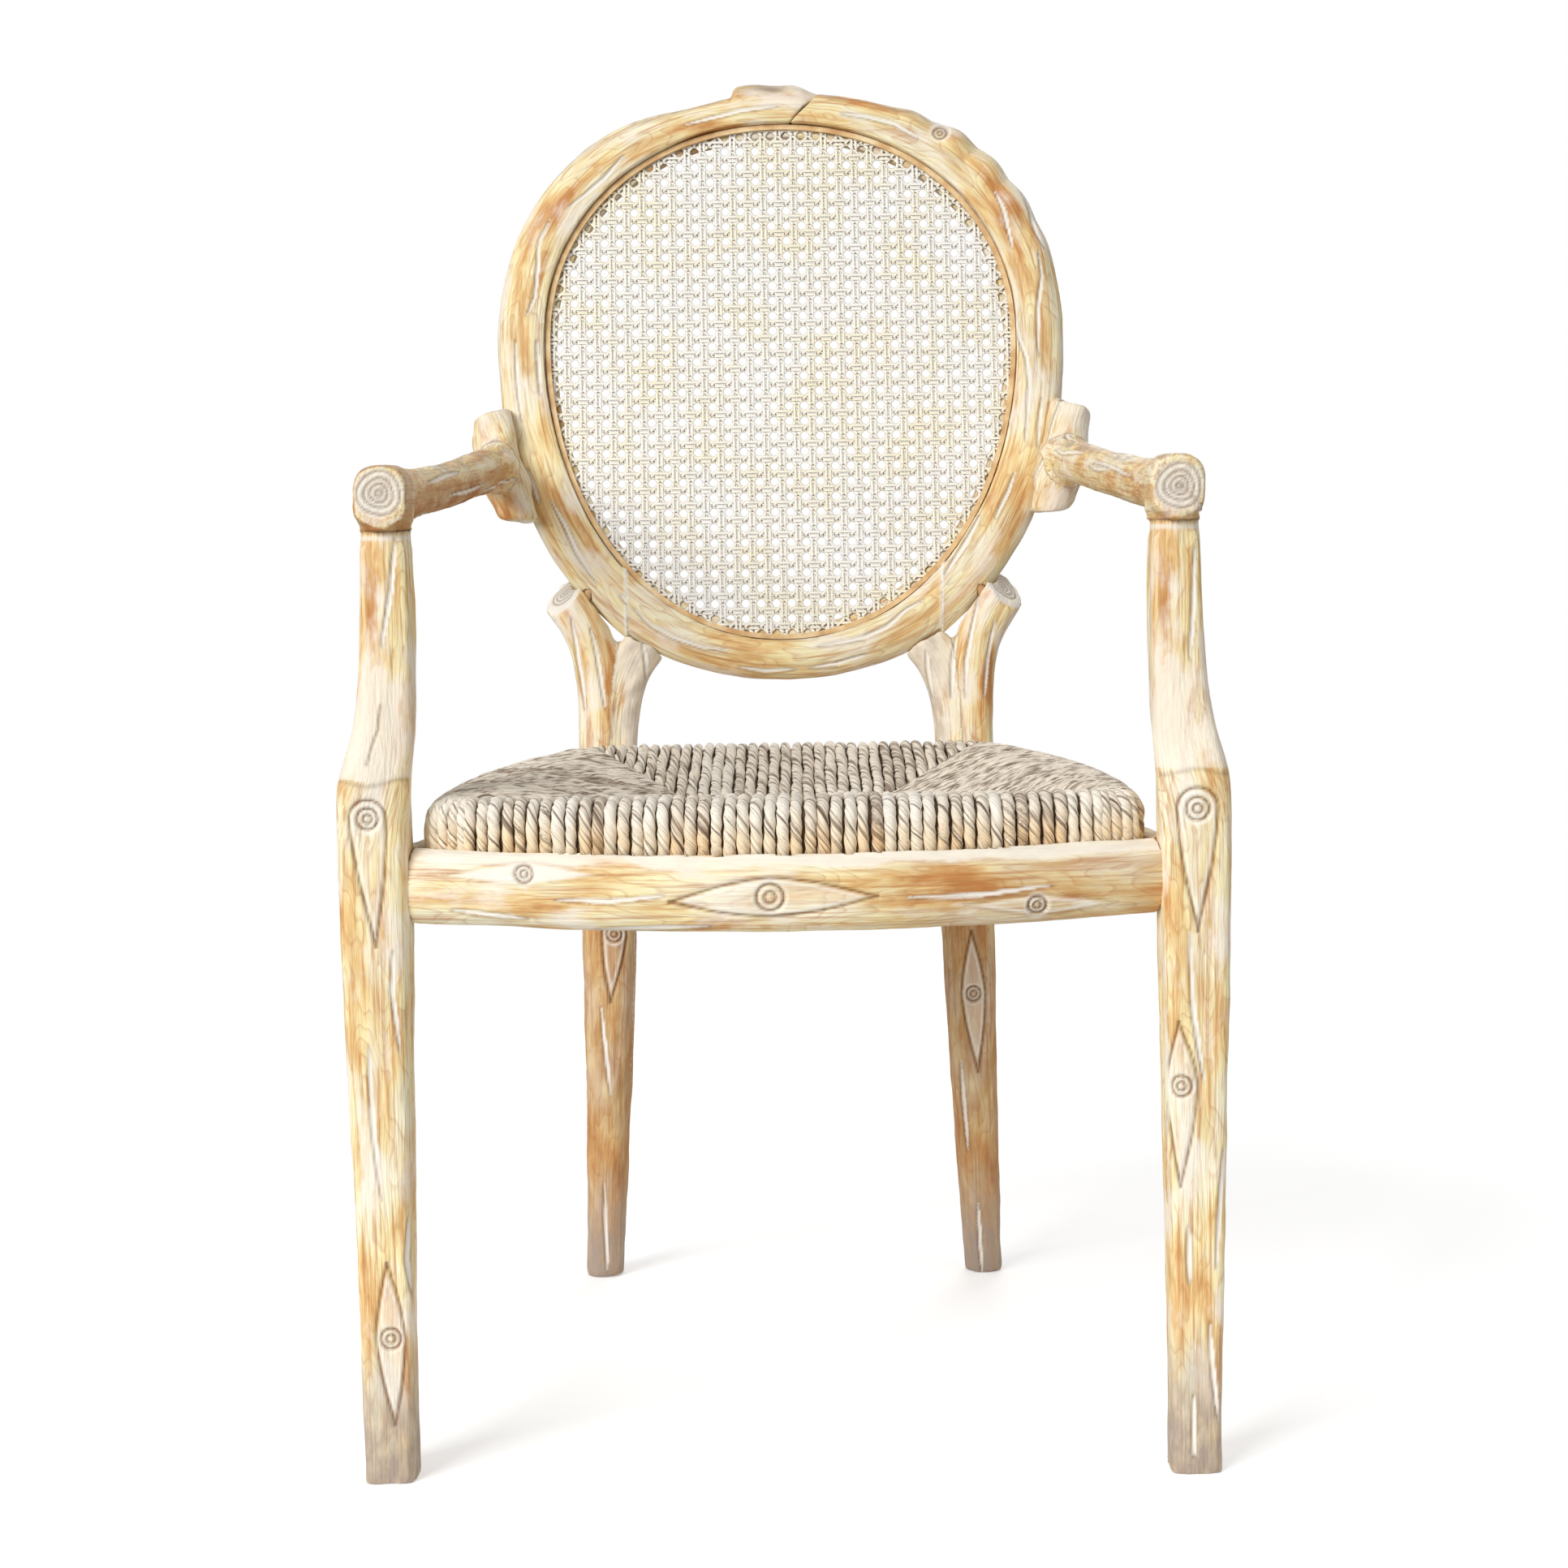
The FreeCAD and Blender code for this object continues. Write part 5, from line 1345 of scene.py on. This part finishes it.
def rush_strand(strands, path, outward, random, section_name, sides=RUSH_SIDES):
    """A twisted strand along a path."""
    along = run_lengths(path)
    twist = TWIST[section_name] * random.uniform(0.7, 1.4)
    phase = 2 * math.pi * (along / twist + random.uniform()) + 0.5 * np.sin(along / random.uniform(20, 45))
    angle = np.linspace(0, 2 * math.pi, sides, endpoint=False)
    turn = (angle[None, :] - phase[:, None]) % (2 * math.pi)
    crease = bell(turn - math.pi, 0.36) + 0.7 * bell(turn - 2.0, 0.3)
    lobes = 1.0 + 0.1 * np.cos(2 * turn) - 0.2 * crease
    thickness = STRAND_RADIUS * random.uniform(0.92, 1.06)
    thickness = thickness * (1 + 0.06 * np.sin(along / random.uniform(9, 17) + random.uniform(0, 6)))
    radius = thickness[:, None] * lobes
    section = np.stack((radius * np.cos(angle), 0.92 * radius * np.sin(angle)), axis=-1)
    across = np.array((-outward[1], outward[0], 0.0))
    path = path + across * (0.5 * np.sin(along / random.uniform(16, 30) + random.uniform(0, 6)))[:, None]
    steep = smooth(0.2, 0.85, np.abs(unit(np.gradient(path, axis=0))[:, 2]))
    front = smooth(230, 20, path[:, 1])
    low = smooth(462, 436, path[:, 2])
    warm = np.clip(steep * low * (0.35 + 0.65 * front), 0, 1)
    start = random.uniform(0, 900)
    run = np.tile((along + start)[:, None], sides)
    leaf = np.stack((radius * np.cos(turn), radius * np.sin(turn), run), axis=-1)
    # Random tone, scaled by the section's painted light and shade.
    tone = PAINTED_SECTION_LIGHT[section_name] * random.triangular(0.0, 0.75, 1.0)
    strands.sweep(path, np.tile(across, (len(path), 1)), section, leaf=leaf.reshape(-1, 3),
                  tone=np.full(len(path) * sides, tone), warm=np.repeat(warm, sides))


def between(value, first, last):
    """Other coordinate of a seam between two (x, y) places, at an x."""
    share = (value - first[0]) / (last[0] - first[0])
    return first[1] + share * (last[1] - first[1])


def rush_layout():
    """Each strand's section, its end at a seam, and the way to the seat's edge."""
    laid = []
    ends = (("front", FRONT_HALF, FRONT_CORNER, -1.0), ("back", BACK_HALF, BACK_CORNER, 1.0))
    for word, half, corner, forward in ends:
        for x in np.arange(-half, half + 0.1, STRAND_PITCH):
            y = APEX[1] if abs(x) < APEX[0] else between(abs(x), APEX, corner)
            laid.append((word, (x, y), (0.0, forward)))
    for side, word in ((-1, "left"), (1, "right")):
        for y in np.arange(SIDE_START, SIDE_END, STRAND_PITCH):
            corner = FRONT_CORNER if y < APEX[1] else BACK_CORNER
            laid.append((word, (side * between(y, APEX[::-1], corner[::-1]), y), (float(side), 0.0)))
        for centre, forward, angles in FANS:
            for angle in np.radians(angles):
                out = (side * math.sin(angle), forward * math.cos(angle))
                laid.append(("front" if forward < 0 else "back", (side * centre[0], centre[1]), out))
    return laid


def rush():
    """Four wound sections, top and underside, over a core painted dark as the shade between the strands."""
    random = np.random.default_rng(7)
    sections = {word: Strands() for word in ("front", "back", "left", "right", "under")}
    for word, end, outward in rush_layout():
        path = edge_path(end, outward)
        if path is not None:
            rush_strand(sections[word], path, outward, random, word)
        path = under_path(end, outward)
        if path is not None:
            rush_strand(sections["under"], path, outward, random, "under", UNDER_SIDES)
    for word, strands in sections.items():
        finished("rush_" + word, strands.mesh("rush_" + word), RUSH, "seat", "rush", "rush_seat")
    core = shaped_copy("rush_seat", CORE_VOXEL)
    smoother = Smoother(core)
    smoother.relax(4)
    smoother.points = smoother.points - mesh_normals(core) * CORE_INSET
    smoother.write()
    finished("rush_core", core, CORE, "seat", "rush", "rush_seat")


# Stage: reach of the floor in metres, lamps, and how bright the surround is as a light and as it is seen
FLOOR_REACH = 30.0
SURROUND_LIGHT = 0.4
SURROUND_SEEN = 1.0

# Place, target, size in metres, and watts
LAMPS = {
    "key": ((-4.0, -5.2, 3.4), (0, 0, 0.5), 3.4, 425.0),
    "fill": ((2.2, -1.6, 1.3), (0, 0, 0.5), 1.8, 8.0),
    "back_fill": ((0.6, 2.6, 2.0), (0, 0, 0.6), 1.8, 30.0),
}


def floor():
    """A pale floor that fades into the white surround."""
    grid = bmesh.new()
    bmesh.ops.create_grid(grid, x_segments=1, y_segments=1, size=FLOOR_REACH)
    mesh = bpy.data.meshes.new("floor")
    grid.to_mesh(mesh)
    grid.free()
    obj = bpy.data.objects.new("floor", mesh)
    bpy.context.collection.objects.link(obj)
    shader = Shader("floor_pale")
    length = shader.tree.nodes.new("ShaderNodeVectorMath")
    length.operation = "LENGTH"
    shader.feed(length.inputs[0], shader.place())
    far = shader.calc("DIVIDE", length.outputs["Value"], 3.0)
    seen = shader.node("ShaderNodeLightPath").outputs["Is Camera Ray"]
    glow = shader.calc("MULTIPLY", seen, shader.ramp(far, (0.25, 0.36), (0.7, 1.0)))
    shader.coat(Base_Color=shader.ramp(far, (0.25, 0.86), (0.7, 0.0)), Roughness=0.9, Specular_IOR_Level=0.0,
                Emission_Color=(1, 1, 1, 1), Emission_Strength=glow)
    mesh.materials.append(shader.material)


def surround():
    """A white world, dimmer as a light than as it is seen."""
    shader = Shader("surround", world=True)
    rays = shader.node("ShaderNodeLightPath").outputs
    seen = shader.calc("MAXIMUM", rays["Is Camera Ray"], rays["Is Glossy Ray"])
    seen = shader.calc("MAXIMUM", seen, rays["Is Transmission Ray"])
    more = shader.calc("MULTIPLY", seen, SURROUND_SEEN - SURROUND_LIGHT)
    shader.coat(Color=(1, 1, 1, 1), Strength=shader.calc("ADD", more, SURROUND_LIGHT))
    bpy.context.scene.world = shader.material


def lamps():
    """Soft light from the upper left, with weak fills from the right and from behind."""
    for name, (place, target, size, watts) in LAMPS.items():
        lamp = bpy.data.lights.new(name, "AREA")
        lamp.size = size
        lamp.energy = watts
        obj = bpy.data.objects.new(name, lamp)
        obj.location = place
        obj.rotation_euler = (Vector(target) - Vector(place)).to_track_quat("-Z", "Y").to_euler()
        bpy.context.collection.objects.link(obj)


def camera():
    """The photograph's viewpoint: pixels for the lens, millimetres for the place, radians for the turns."""
    width, focal, sensor = 1932.0, 3293.28, 36.0
    distance, height, across = 1788.63, 632.72, 12.733
    pitch, roll, yaw = 0.088514, -0.015105, 0.006805
    right = Vector((math.cos(yaw), math.sin(yaw), 0))
    ahead = Vector((-math.sin(yaw), math.cos(yaw), 0))
    forward = ahead * math.cos(pitch) - Vector((0, 0, 1)) * math.sin(pitch)
    down = -ahead * math.sin(pitch) - Vector((0, 0, 1)) * math.cos(pitch)
    image_right = right * math.cos(roll) - down * math.sin(roll)
    image_up = -(right * math.sin(roll) + down * math.cos(roll))
    data = bpy.data.cameras.new("camera")
    data.sensor_width = sensor
    data.lens = focal / width * sensor
    obj = bpy.data.objects.new("camera", data)
    turn = Matrix((image_right, image_up, -forward)).transposed().to_4x4()
    obj.matrix_world = Matrix.Translation(Vector(to_metres((across, -distance, height)))) @ turn
    bpy.context.collection.objects.link(obj)
    bpy.context.scene.camera = obj
    bpy.context.scene.view_settings.view_transform = "Standard"


carved_wood()
dress_nodes()
cane()
rush()
floor()
surround()
lamps()
camera()
